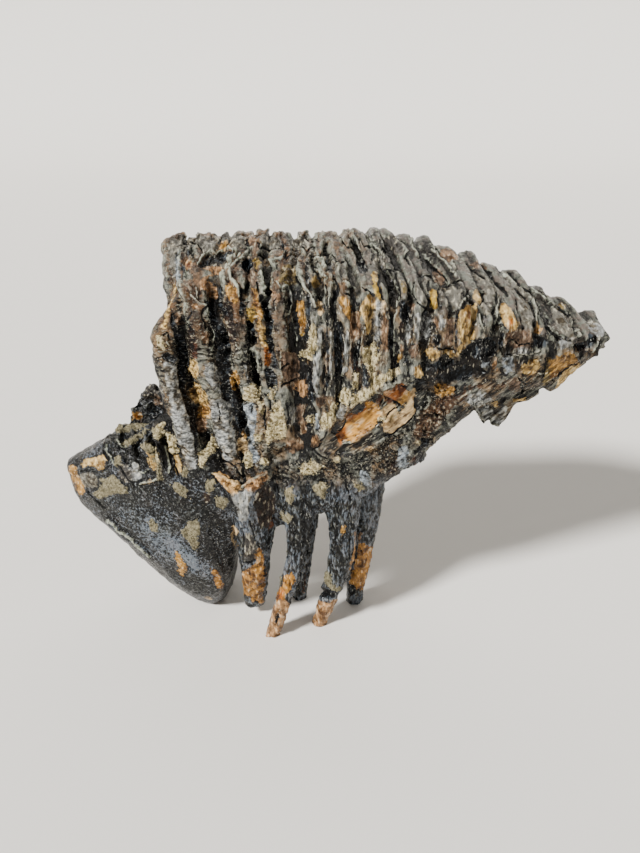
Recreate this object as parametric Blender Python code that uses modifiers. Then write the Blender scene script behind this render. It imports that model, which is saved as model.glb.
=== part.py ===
"""A fossil mammoth molar, built as the one solid that it is, standing on its broken roots.

The crown is a row of upright plates joined by cement. Its grinding face is on top, the front end is at -X, and the
crown tapers to the back end at +X. Below it are the root base, one broad front root and several slender roots.
Shapes are laid out in millimetres, +Z up, and become metres when the solid is made.
"""

import math

import bmesh
import bpy
import numpy as np
from mathutils import Matrix, Vector, noise

MM = 0.001

# Driving dimensions, in mm.
CROWN_FRONT_X = -80
CROWN_BACK_X = 130
VOXEL = 1.5
TRIANGLES = 9400
SEED_SHIFT = Vector((3.1, 7.7, 1.9))

# Outlines of the crown along X, each a list of (x, value). "near" is the -Y side and "far" is the +Y side.
NEAR_Y = [(-84, -33), (-60, -37), (-20, -39), (20, -40), (55, -36), (84, -28), (112, -16), (132, -5)]
FAR_Y = [(-84, 35), (-40, 38), (0, 39), (55, 35), (84, 30), (112, 21), (132, 8)]
FAR_RIM_Z = [(-84, 202), (-45, 203.5), (-15, 201), (15, 203), (28, 202), (56, 193.5), (84, 182), (111, 168), (132, 157)]
NEAR_RIM_Z = [(-84, 186), (-20, 188), (25, 184), (55, 177), (84, 167), (112, 157), (132, 155)]
CROWN_BASE_Z = [(-84, 104), (-60, 100), (-35, 102), (-20, 108), (-4, 112), (12, 124), (27, 138), (58, 148), (127, 149)]

# How far the cement between the plates stands back from their edges, and how far it lies under their rims.
CEMENT_RECESS = [(-84, 12), (-50, 11), (-30, 7), (-12, 5), (0, 4), (60, 3.5), (110, 2), (132, 1)]
CEMENT_DROP = [(-84, 3), (20, 3), (50, 1.6), (132, 1.2)]

# Each plate of the crown: x at the near rim, half-way down and at the foot, its thickness, and how far wear has
# lowered its near rim.
PLATES = [
    (-73, -76, -66, 12, 11),
    (-61, -60, -48, 11, 3),
    (-47, -43, -34, 10, 0),
    (-37, -33, -28, 7, 0),
    (-25, -25, -21, 9.5, 1),
    (-14, -10, -8, 6.5, 0),
    (-5, -4, -4, 5, 0),
    (2, 4, 4, 7.5, 0),
    (10, 11, 12, 5.5, 1),
    (18, 19, 20, 8, 0),
    (27, 26, 27, 5.5, 0),
    (35, 33, 33, 6, 0),
    (44, 42, 41, 7.5, 1),
    (54, 52, 51, 8, 0),
    (64, 62, 61, 8.5, 0),
    (74, 72, 71, 8.5, 1),
    (84, 82, 81, 8.5, 0),
    (94, 92, 91, 8.5, 0),
    (104, 103, 102, 8.5, 0),
    (115, 114, 113, 9, 0),
    (124, 123, 122, 9, 0),
]
# Towards the back end the plates stand askew: how far their far side is moved to the front, as a part of its depth.
SLANT = [(-30, 0), (40, 0.2), (132, 0.2)]
# At the front end they fan out as they rise: the same part, at their rims.
FAN = [(-73, 0.08), (-50, 0)]
# The plates at these x have worn lower at their far rim.
LOW_PLATES = (44, 64, 84, 104)
LOW_BY = 2
# Narrow strips of dentine beside the wide front columns: as a plate, and then how far they stand back from them.
STRIPS = [(-67, -66, -57, 6, 4, 4.5), (-54, -51, -42, 5, 4, 4.5)]

# Lofts along X. Each station is (x, lowest z, highest z, near y, far y).
ROOT_BASE = [
    (-84, 84, 112, -22, 26),
    (-70, 74, 118, -29, 31),
    (-50, 68, 118, -32, 33),
    (-25, 65, 122, -33, 34),
    (0, 67, 128, -33, 34),
    (22, 82, 140, -32, 33),
    (36, 93, 150, -31, 31),
    (51, 109, 156, -30, 29),
    (66, 124, 158, -29, 27),
    (86, 130, 158, -23, 24),
    (97, 131, 157, -19, 21),
    (103, 127, 157, -16, 19),
    (110, 135, 156, -13, 16),
    (125, 147, 155, -7, 10),
]
FRONT_ROOT = [
    (-138.5, 75, 86, -4, 5),
    (-133, 60, 90, -8, 10),
    (-124, 51, 95, -13, 15),
    (-114, 40, 100, -18, 20),
    (-103, 27, 106, -23, 24),
    (-94, 16, 112, -26, 27),
    (-85, 6, 118, -28, 29),
    (-76, -1, 121, -30, 30),
    (-67, -4, 122, -30, 31),
    (-61, 0, 120, -30, 30),
    (-56, 12, 116, -29, 28),
    (-52, 35, 108, -27, 25),
    (-49, 62, 98, -24, 20),
]
FRONT_ROOT_SET_BACK = 12

# Slender roots: points of each root's centre line with its radius there, (x, y, z, radius).
ROOTS = {
    "fork": [(-44, -19, 102, 16), (-42, -23, 78, 12.5), (-41, -24, 58, 9.5), (-42, -18, 30, 7.4), (-44, -9, 7, 5.6)],
    "fork_near_arm": [(-61, -30, 102, 5), (-54, -36, 93, 5), (-45, -35, 82, 5), (-43, -31, 66, 4)],
    "fork_far_arm": [(-33, -32, 104, 5), (-37, -36, 95, 5), (-44, -35, 82, 5)],
    "near_mid": [(-20, -21, 92, 13), (-18, -26, 68, 7.5), (-20, -29, 46, 5), (-27, -29, 22, 4.6), (-34, -29, -2, 3.6)],
    "far_mid": [(-14, 2, 88, 10), (-14, 1, 64, 5.8), (-15, 1, 39, 4.4), (-18, 2, 16, 3.8), (-20, 3, -2, 3.4)],
    "near_back": [(2, -18, 92, 13), (3, -23, 67, 8), (3, -23, 42, 6.2), (-3, -21, 22, 5.4), (-9, -19, -2, 3.9)],
    "mid_back": [(14, -8, 90, 11), (16, -10, 60, 7), (13, -5, 30, 5.6), (10, 1, -2, 4.5)],
    "far_back": [(10, 12, 92, 11), (12, 18, 62, 7), (9, 22, 28, 5.4), (5, 24, -2, 4.4)],
    "far_front": [(-40, 14, 90, 12), (-46, 21, 62, 8), (-50, 25, 40, 6.5)],
    "back_stub": [(18, 0, 108, 16), (36, 2, 97, 11), (39, 3, 86, 7.5)],
    "web": [(-30, -20, 86, 9), (-30, -21, 63, 5)],
}

# Broken pieces: a flake under the back end, and a chip that stands where the slope meets the crown.
FLAKE_OUTLINE = [
    (60, 138), (61, 125), (67, 118), (71, 112), (73, 115), (76, 111), (79, 111), (82, 115), (85, 122), (91, 125),
    (96, 128), (98, 138),
]
FLAKE_Y, FLAKE_THICKNESS = -9, 7
CHIP_CORNERS = [
    (-106, 2, 104),
    (-104, 16, 104),
    (-103, 6, 114),
    (-98, 14, 120),
    (-94, 9, 126),
    (-86, 4, 120),
    (-85, 16, 117),
    (-84, 6, 104),
    (-86, 20, 104),
]

# Stumps of worn plates on the front slope: x, z of the crest, and the near and far y.
SLOPE_FINS = [(-116, 100, -12, 10), (-108, 106, -16, 8), (-100, 108, -22, 2), (-92, 110, -26, -4), (-86, 112, -29, -6)]

# The broken root on the near side: centre, half sizes, and the angle that it rises at towards the back end.
BROKEN_ROOT_AT = (16, -31, 126)
BROKEN_ROOT_HALF = (27, 8, 11)
BROKEN_ROOT_RISE = math.radians(37)
BROKEN_ROOT_DIP = 5

# Hollows pressed into the surface: centre, radius, and depth.
HOLLOWS = [
    ((-92, 2, 111), 8, 5),
    ((-84, -16, 174), 11, 6),
    ((75, -34, 152), 10, 4),
    ((52, -37, 150), 8, 3),
    ((-9, -41, 128), 7, 3),
]


def at(points, x):
    """The value at x of a list of (x, value), straight between its points."""
    return float(np.interp(x, [p[0] for p in points], [p[1] for p in points]))


def signed_power(value, power):
    return math.copysign(abs(value) ** power, value)


def loft(mesh_into, rings, segments, place):
    """A UV sphere whose latitude runs along a body and whose longitude runs round it.

    place(t, angle, is_pole) gives each vertex its point in mm, with t from 0 to 1 along the body.
    """
    made = bmesh.new()
    bmesh.ops.create_uvsphere(made, u_segments=segments, v_segments=rings, radius=1)
    for vert in made.verts:
        t = math.acos(max(-1.0, min(1.0, -vert.co.z))) / math.pi
        angle = math.atan2(vert.co.y, vert.co.x)
        is_pole = math.hypot(vert.co.x, vert.co.y) < 1e-5
        vert.co = Vector(place(t, angle, is_pole))
    bmesh.ops.recalc_face_normals(made, faces=made.faces)
    append(mesh_into, made)


def append(mesh_into, made):
    """Adds one bmesh to another and frees it."""
    held = bpy.data.meshes.new("held")
    made.to_mesh(held)
    made.free()
    mesh_into.from_mesh(held)
    bpy.data.meshes.remove(held)


def body_along_x(into, stations, power, set_back=0.0):
    """A body lofted along X through (x, lowest z, highest z, near y, far y), with rounded-box sections.

    set_back moves the body's lowest parts away from the near side, by up to that much at the ground.
    """
    columns = list(zip(*stations))

    def place(t, angle, is_pole):
        x = columns[0][0] + t * (columns[0][-1] - columns[0][0])
        low, high, near, far = (float(np.interp(x, columns[0], c)) for c in columns[1:])
        reach = 0 if is_pole else 1
        y = (near + far) / 2 + reach * (far - near) / 2 * signed_power(math.cos(angle), power)
        z = (low + high) / 2 + reach * (high - low) / 2 * signed_power(math.sin(angle), power)
        y += set_back * max(0.0, 1 - max(z, 0) / 90)
        return x, y, z

    loft(into, 36, 32, place)


def crown_cement(into):
    """The cement that fills the crown between its plates, a little inside their edges."""
    stations = []
    for x in range(CROWN_FRONT_X + 4, CROWN_BACK_X, 8):
        recess = at(CEMENT_RECESS, x)
        base = at(CROWN_BASE_Z, x) - 4
        near, far = at(NEAR_Y, x) + recess, at(FAR_Y, x) - recess
        drop = at(CEMENT_DROP, x)
        stations.append((x, base, at(NEAR_RIM_Z, x) - drop, at(FAR_RIM_Z, x) - drop, near, far))
    crown_body(into, stations)


def crown_body(into, stations):
    """A body along X through (x, base, near top, far top, near y, far y), with a sloping flat top."""
    columns = list(zip(*stations))

    def place(t, angle, is_pole):
        x = columns[0][0] + t * (columns[0][-1] - columns[0][0])
        base, near_top, far_top, near, far = (float(np.interp(x, columns[0], c)) for c in columns[1:])
        across = 0 if is_pole else signed_power(math.cos(angle), 0.25)
        up = 0 if is_pole else signed_power(math.sin(angle), 0.25)
        y = (near + far) / 2 + across * (far - near) / 2
        top = near_top + (far_top - near_top) * (1 + across) / 2
        return x, y, base + (1 + up) / 2 * (top - base)

    loft(into, 48, 40, place)


def crown_plate(into, rim_x, middle_x, foot_x, thickness, worn, recess=0.0):
    """One plate: a slab with rounded edges across the crown, bending from its foot to its rim."""
    slant, fan, edge_y = at(SLANT, rim_x), at(FAN, rim_x), at(NEAR_Y, rim_x)
    far_x = rim_x - (slant + fan) * (at(FAR_Y, rim_x) - edge_y)
    near, far = edge_y + recess, at(FAR_Y, far_x) - recess
    near_top = at(NEAR_RIM_Z, rim_x) - worn
    far_top = at(FAR_RIM_Z, far_x) - (LOW_BY if rim_x in LOW_PLATES else 0)
    base = at(CROWN_BASE_Z, foot_x)
    slope = (far_top - near_top) / (far - near)
    middle_y, middle_top = (near + far) / 2, (near_top + far_top) / 2

    def place(t, angle, is_pole):
        across = -math.cos(math.pi * t)
        round_in = thickness / 2 * (1 - math.sqrt(max(0.0, 1 - across * across)))
        half_y = 0 if is_pole else (far - near) / 2 - round_in
        half_z = 0 if is_pole else (middle_top - base) / 2 - round_in
        y = middle_y + half_y * signed_power(math.cos(angle), 0.3)
        up = 0.5 + half_z * signed_power(math.sin(angle), 0.3) / (middle_top - base)
        z = base + up * (middle_top + slope * (y - middle_y) - base)
        x = float(np.interp(up, (0, 0.55, 1), (foot_x, middle_x, rim_x)))
        x -= (slant + fan * up * up) * (y - edge_y)
        bow = 1.2 * math.sin(0.11 * y + 0.4 * rim_x) + 0.8 * math.sin(0.09 * (100 + 90 * up) + rim_x)
        return x + bow + across * thickness / 2, y, z

    loft(into, 8, 40, place)


def root(into, points):
    """A tapering root: a bevelled curve through its centre points, made a mesh."""
    data = bpy.data.curves.new("root", "CURVE")
    data.dimensions = "3D"
    data.bevel_depth = 1
    data.bevel_resolution = 3
    data.use_fill_caps = True
    data.resolution_u = 5
    spline = data.splines.new("NURBS")
    spline.points.add(len(points) - 1)
    spline.order_u = 3
    spline.use_endpoint_u = True
    for point, (x, y, z, radius) in zip(spline.points, points):
        point.co = (x, y, z, 1)
        point.radius = radius
    append_object(into, bpy.data.objects.new("root", data))


def flat_piece(into, outline, middle_y, thickness):
    """A slab with this outline in XZ, from a filled and extruded 2D curve stood upright."""
    data = bpy.data.curves.new("slab", "CURVE")
    data.dimensions = "2D"
    data.fill_mode = "BOTH"
    data.extrude = thickness / 2
    spline = data.splines.new("POLY")
    spline.points.add(len(outline) - 1)
    spline.use_cyclic_u = True
    for point, (x, z) in zip(spline.points, outline):
        point.co = (x, z, 0, 1)
    slab = bpy.data.objects.new("slab", data)
    slab.matrix_world = Matrix.Translation((0, middle_y, 0)) @ Matrix.Rotation(math.pi / 2, 4, "X")
    append_object(into, slab)


def append_object(into, obj):
    """Adds a curve object's evaluated mesh, where it stands, and removes the curve."""
    bpy.context.scene.collection.objects.link(obj)
    bpy.context.view_layer.update()
    graph = bpy.context.evaluated_depsgraph_get()
    mesh = bpy.data.meshes.new_from_object(obj.evaluated_get(graph))
    mesh.transform(obj.matrix_world)
    made = bmesh.new()
    made.from_mesh(mesh)
    bmesh.ops.remove_doubles(made, verts=made.verts, dist=1e-4)
    bmesh.ops.recalc_face_normals(made, faces=made.faces)
    bpy.data.objects.remove(obj)
    bpy.data.meshes.remove(mesh)
    append(into, made)


def chip(into):
    """A block of broken tooth with flat faces, the hull of its corners."""
    made = bmesh.new()
    for corner in CHIP_CORNERS:
        made.verts.new(corner)
    bmesh.ops.convex_hull(made, input=made.verts)
    loose = [v for v in made.verts if not v.link_faces]
    bmesh.ops.delete(made, geom=loose, context="VERTS")
    append(into, made)


def slope_fin(into, x, crest, near, far):
    """The stump of a worn plate, leaning back on the front slope."""
    middle_y, half_y = (near + far) / 2, (far - near) / 2
    half_z = 14

    def place(t, angle, is_pole):
        across = 2 * t - 1
        size = 0 if is_pole else (1 - abs(across) ** 3) ** 0.33
        y = middle_y + half_y * size * signed_power(math.cos(angle), 0.6)
        z = crest - half_z + half_z * size * signed_power(math.sin(angle), 0.6)
        return x + across * 2.8 + 0.25 * (crest - z), y, z

    loft(into, 6, 16, place)


def broken_root(into):
    """The stump of a root that broke off the near side, an oval lump that rises towards the back end."""
    turn = Matrix.Translation(BROKEN_ROOT_AT) @ Matrix.Rotation(-BROKEN_ROOT_RISE, 4, "Y")
    shape = turn @ Matrix.Diagonal((*BROKEN_ROOT_HALF, 1))
    made = bmesh.new()
    bmesh.ops.create_uvsphere(made, u_segments=24, v_segments=12, radius=1, matrix=shape)
    append(into, made)


def rough_shape():
    """Every lump of the tooth in one mesh, still overlapping."""
    into = bmesh.new()
    crown_cement(into)
    for plate in PLATES + STRIPS:
        crown_plate(into, *plate)
    body_along_x(into, ROOT_BASE, 0.6)
    body_along_x(into, FRONT_ROOT, 0.75, FRONT_ROOT_SET_BACK)
    for points in ROOTS.values():
        root(into, points)
    flat_piece(into, FLAKE_OUTLINE, FLAKE_Y, FLAKE_THICKNESS)
    chip(into)
    for fin in SLOPE_FINS:
        slope_fin(into, *fin)
    broken_root(into)
    mesh = bpy.data.meshes.new("rough_shape")
    into.to_mesh(mesh)
    into.free()
    return mesh


def fused(mesh):
    """The lumps joined in one skin by a voxel remesh, with its steps smoothed away."""
    obj = bpy.data.objects.new("fused", mesh)
    bpy.context.scene.collection.objects.link(obj)
    remesh = obj.modifiers.new("join", "REMESH")
    remesh.mode = "VOXEL"
    remesh.voxel_size = VOXEL
    smooth = obj.modifiers.new("soften", "SMOOTH")
    smooth.factor = 0.5
    smooth.iterations = 2
    bpy.context.view_layer.update()
    graph = bpy.context.evaluated_depsgraph_get()
    result = bpy.data.meshes.new_from_object(obj.evaluated_get(graph))
    bpy.data.objects.remove(obj)
    return result


def broken_root_dip(place):
    """How far the broken root's face lies under the surface around it: a shallow dish with a raised edge."""
    if place.y > -20:
        return 0.0
    offset = place - Vector(BROKEN_ROOT_AT)
    along = offset.x * math.cos(BROKEN_ROOT_RISE) + offset.z * math.sin(BROKEN_ROOT_RISE)
    over = offset.z * math.cos(BROKEN_ROOT_RISE) - offset.x * math.sin(BROKEN_ROOT_RISE)
    reach = math.hypot(along / BROKEN_ROOT_HALF[0], over / BROKEN_ROOT_HALF[2])
    return BROKEN_ROOT_DIP * max(0.0, 1 - reach**2) - 2 * math.exp(-(((reach - 1.1) / 0.2) ** 2))


def weather(mesh):
    """Moves the skin along its normals: hollows, and the lumps of old breaks and wear."""
    normals = [v.normal.copy() for v in mesh.vertices]
    for vert, normal in zip(mesh.vertices, normals):
        place = vert.co.copy()
        lump = 0.9 * noise.noise(place / 13 + SEED_SHIFT) + 0.6 * noise.noise(place / 5.5 + SEED_SHIFT)
        sink = broken_root_dip(place)
        for centre, radius, depth in HOLLOWS:
            near = 1 - (place - Vector(centre)).length / (radius * 1.4)
            sink = max(sink, depth * max(0.0, near) ** 0.7)
        vert.co = place + normal * (lump - sink)


def tooth_material():
    """Black and grey fossil cement and enamel, dull with a little polish."""
    material = bpy.data.materials.new("fossil_cement")
    material.use_nodes = True
    shader = material.node_tree.nodes["Principled BSDF"]
    shader.inputs["Base Color"].default_value = (0.075, 0.068, 0.06, 1)
    shader.inputs["Roughness"].default_value = 0.62
    shader.inputs["Metallic"].default_value = 0
    return material


def ground_cutter(collection):
    """A block under z = 0, which gives the roots flat worn tips to stand on."""
    made = bmesh.new()
    bmesh.ops.create_cube(made, size=1)
    mesh = bpy.data.meshes.new("ground_cutter")
    made.to_mesh(mesh)
    made.free()
    cutter = bpy.data.objects.new("ground_cutter", mesh)
    cutter.matrix_world = Matrix.Translation((0, 0, -0.05)) @ Matrix.Diagonal((0.5, 0.3, 0.1, 1))
    cutter.hide_render = True
    cutter.display_type = "WIRE"
    collection.objects.link(cutter)
    return cutter


def new_collection(name):
    collection = bpy.data.collections.new(name)
    bpy.context.scene.collection.children.link(collection)
    return collection


def centre_on_origin(mesh):
    """Sets the middle of the mesh's box over the origin, in X and Y."""
    points = np.empty(len(mesh.vertices) * 3, np.float32)
    mesh.vertices.foreach_get("co", points)
    points = points.reshape(-1, 3)
    middle = (points.min(axis=0) + points.max(axis=0)) / 2
    mesh.transform(Matrix.Translation((-middle[0], -middle[1], 0)))


def build_tooth():
    mesh = fused(rough_shape())
    weather(mesh)
    mesh.transform(Matrix.Diagonal((MM, MM, MM, 1)))
    centre_on_origin(mesh)
    mesh.name = "tooth"
    mesh.materials.clear()
    mesh.materials.append(tooth_material())

    tooth = bpy.data.objects.new("tooth", mesh)
    new_collection("mammoth_molar").objects.link(tooth)
    thin = tooth.modifiers.new("thin", "DECIMATE")
    thin.ratio = TRIANGLES / sum(len(face.vertices) - 2 for face in mesh.polygons)
    cut = tooth.modifiers.new("flat_tips", "BOOLEAN")
    cut.operation = "DIFFERENCE"
    cut.solver = "EXACT"
    cut.object = ground_cutter(new_collection("cutters"))
    return tooth


for leftover in list(bpy.data.objects):
    bpy.data.objects.remove(leftover)
build_tooth()
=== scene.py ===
"""The looks of a fossil mammoth molar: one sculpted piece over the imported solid, with its sandy crust.

Shapes are laid out in millimetres in the tooth's own frame, +Z up, with the front end at -X and the broken
root on the -Y side, and become metres when a mesh is finished.
"""

import math
from functools import partial

import bmesh
import bpy
import numpy as np
from mathutils import Matrix, Vector


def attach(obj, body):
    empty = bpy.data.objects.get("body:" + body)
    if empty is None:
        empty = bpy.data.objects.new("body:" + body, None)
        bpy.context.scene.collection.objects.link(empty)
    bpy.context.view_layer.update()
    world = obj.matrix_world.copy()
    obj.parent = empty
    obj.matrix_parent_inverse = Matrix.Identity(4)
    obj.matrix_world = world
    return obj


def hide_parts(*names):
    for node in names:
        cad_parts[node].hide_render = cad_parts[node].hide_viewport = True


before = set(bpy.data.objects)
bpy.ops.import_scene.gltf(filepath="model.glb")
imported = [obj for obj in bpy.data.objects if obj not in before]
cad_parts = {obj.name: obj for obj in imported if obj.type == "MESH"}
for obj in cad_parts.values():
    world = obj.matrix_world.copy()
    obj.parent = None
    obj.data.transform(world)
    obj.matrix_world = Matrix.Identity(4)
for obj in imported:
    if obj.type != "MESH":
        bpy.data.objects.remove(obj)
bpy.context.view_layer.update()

MM = 0.001
# The size of the remesh's cells in mm, and how many triangles are kept of it.
VOXEL = 0.7
TRIANGLES = 196000
# A point further than this from every outline is only known to be far outside, in pixels.
FAR_OUTSIDE = -6.0
# A point counts as seen if it lies less than SEEN_DEPTH mm behind the nearest one in its SEEN_CELL pixels, and
# as on the far side if its normal runs along the camera's line of sight by more than FAR_SIDE.
SEEN_DEPTH = 14
SEEN_CELL = 3
FAR_SIDE = 0.225

# The crown, each a list of (x, value) in mm. "near" is the -Y side and "far" is the +Y side.
NEAR_Y = [(-84, -33), (-60, -37), (-20, -39), (20, -40), (55, -36), (84, -28), (112, -16), (132, -5)]
FAR_Y = [(-84, 35), (-40, 38), (0, 39), (55, 35), (84, 30), (112, 21), (132, 8)]
FAR_RIM_Z = [
    (-84, 202), (-45, 203.5), (-15, 201), (15, 203), (28, 202), (56, 193.5), (84, 182), (111, 168),
    (132, 157),
]
NEAR_RIM_Z = [(-84, 186), (-20, 188), (25, 184), (55, 177), (84, 167), (112, 157), (132, 155)]
CROWN_BASE_Z = [
    (-84, 104), (-60, 100), (-35, 102), (-20, 108), (-4, 112), (12, 124), (27, 138), (58, 148), (127, 149),
]
CROWN_ENDS_X = (-76, 130)
# The cement between the plates: how far it lies inside their edges and under their rims, and how far it
# reaches into the base below and stops short of the back end.
CEMENT_RECESS = [(-84, 12), (-50, 11), (-30, 7), (-12, 5), (0, 4), (60, 3.5), (110, 2), (132, 1)]
CEMENT_DROP = [(-84, 3), (20, 3), (50, 1.6), (132, 1.2)]
CEMENT_OVERLAP = 4

# Each plate: x at the near rim, half-way down and at the foot, its thickness, and how far wear has lowered
# its near rim.
PLATES = [
    (-73, -76, -66, 12, 11),
    (-61, -60, -48, 11, 3),
    (-47, -43, -34, 10, 0),
    (-37, -33, -28, 7, 0),
    (-25, -25, -21, 9.5, 1),
    (-14, -10, -8, 6.5, 0),
    (-5, -4, -4, 5, 0),
    (2, 4, 4, 7.5, 0),
    (10, 11, 12, 5.5, 1),
    (18, 19, 20, 8, 0),
    (27, 26, 27, 5.5, 0),
    (35, 33, 33, 6, 0),
    (44, 42, 41, 7.5, 1),
    (54, 52, 51, 8, 0),
    (64, 62, 61, 8.5, 0),
    (74, 72, 71, 8.5, 1),
    (84, 82, 81, 8.5, 0),
    (94, 92, 91, 8.5, 0),
    (104, 103, 102, 8.5, 0),
    (115, 114, 113, 9, 0),
    (124, 123, 122, 9, 0),
]
# Towards the back end the plates stand askew: how far their far side is moved to the front, as a part of its
# depth.
SLANT = [(-30, 0), (40, 0.2), (132, 0.2)]
# At the front end they fan out as they rise: the same part, at their rims.
FAN = [(-73, 0.08), (-50, 0)]
# The plates at these x have worn lower at their far rim.
LOW_PLATES = (44, 64, 84, 104)
LOW_BY = 2
# Towards the back end they are worn into slats: how much thicker they are, so that no gap is left between
# them, and how round their edges are.
SLAT_FILL = [(44, 0), (64, 1.4)]
ROUND_EDGE = [(20, 1), (44, 0.35)]
# Strips of knobbly dentine beside the wide front columns, set back from them: x at three heights, thickness,
# recess.
STRIPS = [(-67, -66, -57, 6, 4.5), (-54, -51, -42, 5, 4.5)]

# Lofts along X. Each station is (x, lowest z, highest z, near y, far y).
ROOT_BASE = [
    (-84, 84, 112, -22, 26),
    (-70, 74, 118, -29, 31),
    (-50, 68, 118, -32, 33),
    (-25, 65, 122, -33, 34),
    (0, 67, 128, -33, 34),
    (22, 82, 140, -32, 33),
    (36, 93, 150, -31, 31),
    (51, 109, 156, -30, 29),
    (66, 124, 158, -29, 27),
    (86, 130, 158, -23, 24),
    (97, 131, 157, -19, 21),
    (103, 127, 157, -16, 19),
    (110, 135, 156, -13, 16),
    (125, 147, 155, -7, 10),
]
FRONT_ROOT = [
    (-138.5, 75, 86, -4, 5),
    (-133, 60, 90, -8, 10),
    (-124, 51, 95, -13, 15),
    (-114, 40, 100, -18, 20),
    (-103, 27, 106, -23, 24),
    (-94, 16, 112, -26, 27),
    (-85, 6, 118, -28, 29),
    (-76, -1, 121, -30, 30),
    (-67, -4, 122, -30, 31),
    (-61, 0, 120, -30, 30),
    (-56, 12, 116, -29, 28),
    (-52, 35, 108, -27, 25),
    (-49, 62, 98, -24, 20),
]
# The front root's lowest part is set back by so much, and from this height up it isn't.
FRONT_ROOT_SET_BACK = 12
SET_BACK_BELOW = 90

# Slender roots: points of each root's centre line with its radius there, (x, y, z, radius).
ROOTS = {
    "fork": [
        (-44, -19, 102, 16), (-42, -23, 78, 12.5), (-41, -24, 58, 9.5), (-42, -18, 30, 7.4), (-44, -9, 7, 5.6),
    ],
    "fork_near_arm": [(-61, -30, 102, 5), (-54, -36, 93, 5), (-45, -35, 82, 5), (-43, -31, 66, 4)],
    "fork_far_arm": [(-33, -32, 104, 5), (-37, -36, 95, 5), (-44, -35, 82, 5)],
    "near_mid": [
        (-20, -21, 92, 13), (-18, -26, 68, 7.5), (-20, -29, 46, 5), (-27, -29, 22, 4.6), (-34, -29, -2, 3.6),
    ],
    "far_mid": [(-14, 2, 88, 10), (-14, 1, 64, 5.8), (-15, 1, 39, 4.4), (-18, 2, 16, 3.8), (-20, 3, -2, 3.4)],
    "near_back": [(2, -18, 92, 13), (3, -23, 67, 8), (3, -23, 42, 6.2), (-3, -21, 22, 5.4), (-9, -19, -2, 3.9)],
    "mid_back": [(14, -8, 90, 11), (16, -10, 60, 7), (13, -5, 30, 5.6), (10, 1, -2, 4.5)],
    "far_back": [(10, 12, 92, 11), (12, 18, 62, 7), (9, 22, 28, 5.4), (5, 24, -2, 4.4)],
    "far_front": [(-40, 14, 90, 12), (-46, 21, 62, 8), (-50, 25, 40, 6.5)],
    "back_stub": [(18, 0, 108, 16), (36, 2, 97, 11), (39, 3, 86, 7.5)],
    "web": [(-30, -20, 86, 9), (-30, -21, 63, 5)],
}

# Broken pieces: a flake under the back end, and a chip that stands where the slope meets the crown.
FLAKE_OUTLINE = [
    (60, 138), (61, 125), (67, 118), (71, 112), (73, 115), (76, 111), (79, 111), (82, 115), (85, 122),
    (91, 125), (96, 128), (98, 138),
]
FLAKE_Y, FLAKE_THICKNESS = -9, 7
CHIP_CORNERS = [
    (-106, 2, 104),
    (-104, 16, 104),
    (-103, 6, 114),
    (-98, 14, 120),
    (-94, 9, 126),
    (-86, 4, 120),
    (-85, 16, 117),
    (-84, 6, 104),
    (-86, 20, 104),
]

# Stumps of worn plates on the front slope: x, z of the crest, near and far y. Then what they share, with how
# far they lean back for each mm down.
SLOPE_FINS = [
    (-116, 100, -12, 10),
    (-108, 106, -16, 8),
    (-100, 108, -22, 2),
    (-92, 110, -26, -4),
    (-86, 112, -29, -6),
]
FIN_HALF_HEIGHT = 14
FIN_HALF_THICKNESS = 2.8
FIN_LEAN = 0.25

# The broken root on the near side: its centre, its half sizes, the angle that it rises at towards the back
# end, and how deep its face is dished.
BROKEN_ROOT_AT = (16, -31, 126)
BROKEN_ROOT_HALF = (27, 8, 11)
BROKEN_ROOT_RISE = math.radians(37)
BROKEN_ROOT_DIP = 5

# Hollows broken out of the surface: centre, radius and depth.
HOLLOWS = [
    ((-92, 2, 111), 8, 5),
    ((-84, -16, 174), 11, 6),
    ((75, -34, 152), 10, 4),
    ((52, -37, 150), 8, 3),
    ((-9, -41, 128), 7, 3),
]

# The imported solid's frame has its origin here, in the frame that the shapes are laid out in.
ORIGIN = (-6.02, -0.66, 0)

# The camera looks along +Y and down, from a distance in mm, at a point over the roots. u and v are pixels of
# its picture, and a patch that is placed by them lies on whatever shows there. SENSOR is its long side, in mm.
LOOK_AT = np.array((-8.5, 0, 106))
LOOK_DOWN = math.radians(24)
DISTANCE = 402
FRAME_PX = (640, 853)
FOCAL_PX = 800
SENSOR = 36
AHEAD = np.array((0, math.cos(LOOK_DOWN), -math.sin(LOOK_DOWN)))
OVER = np.array((0, math.sin(LOOK_DOWN), math.cos(LOOK_DOWN)))
CAMERA_AT = LOOK_AT - DISTANCE * AHEAD

# The studio, in metres: how far the paper reaches to each side, and the radius of its curve behind the tooth.
FLOOR_REACH = 4
SWEEP_RADIUS = 1
# Its lights: where each one shines, its strength, and how many degrees wide it is, which softens its shadows.
LIGHTS = {
    "window": ((0.62, 0.55, -0.68), 7.6, 9),
    "fill": ((-0.8, 0.5, -0.4), 0.5, 60),
}
ROOM_LIGHT = 0.22

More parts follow.
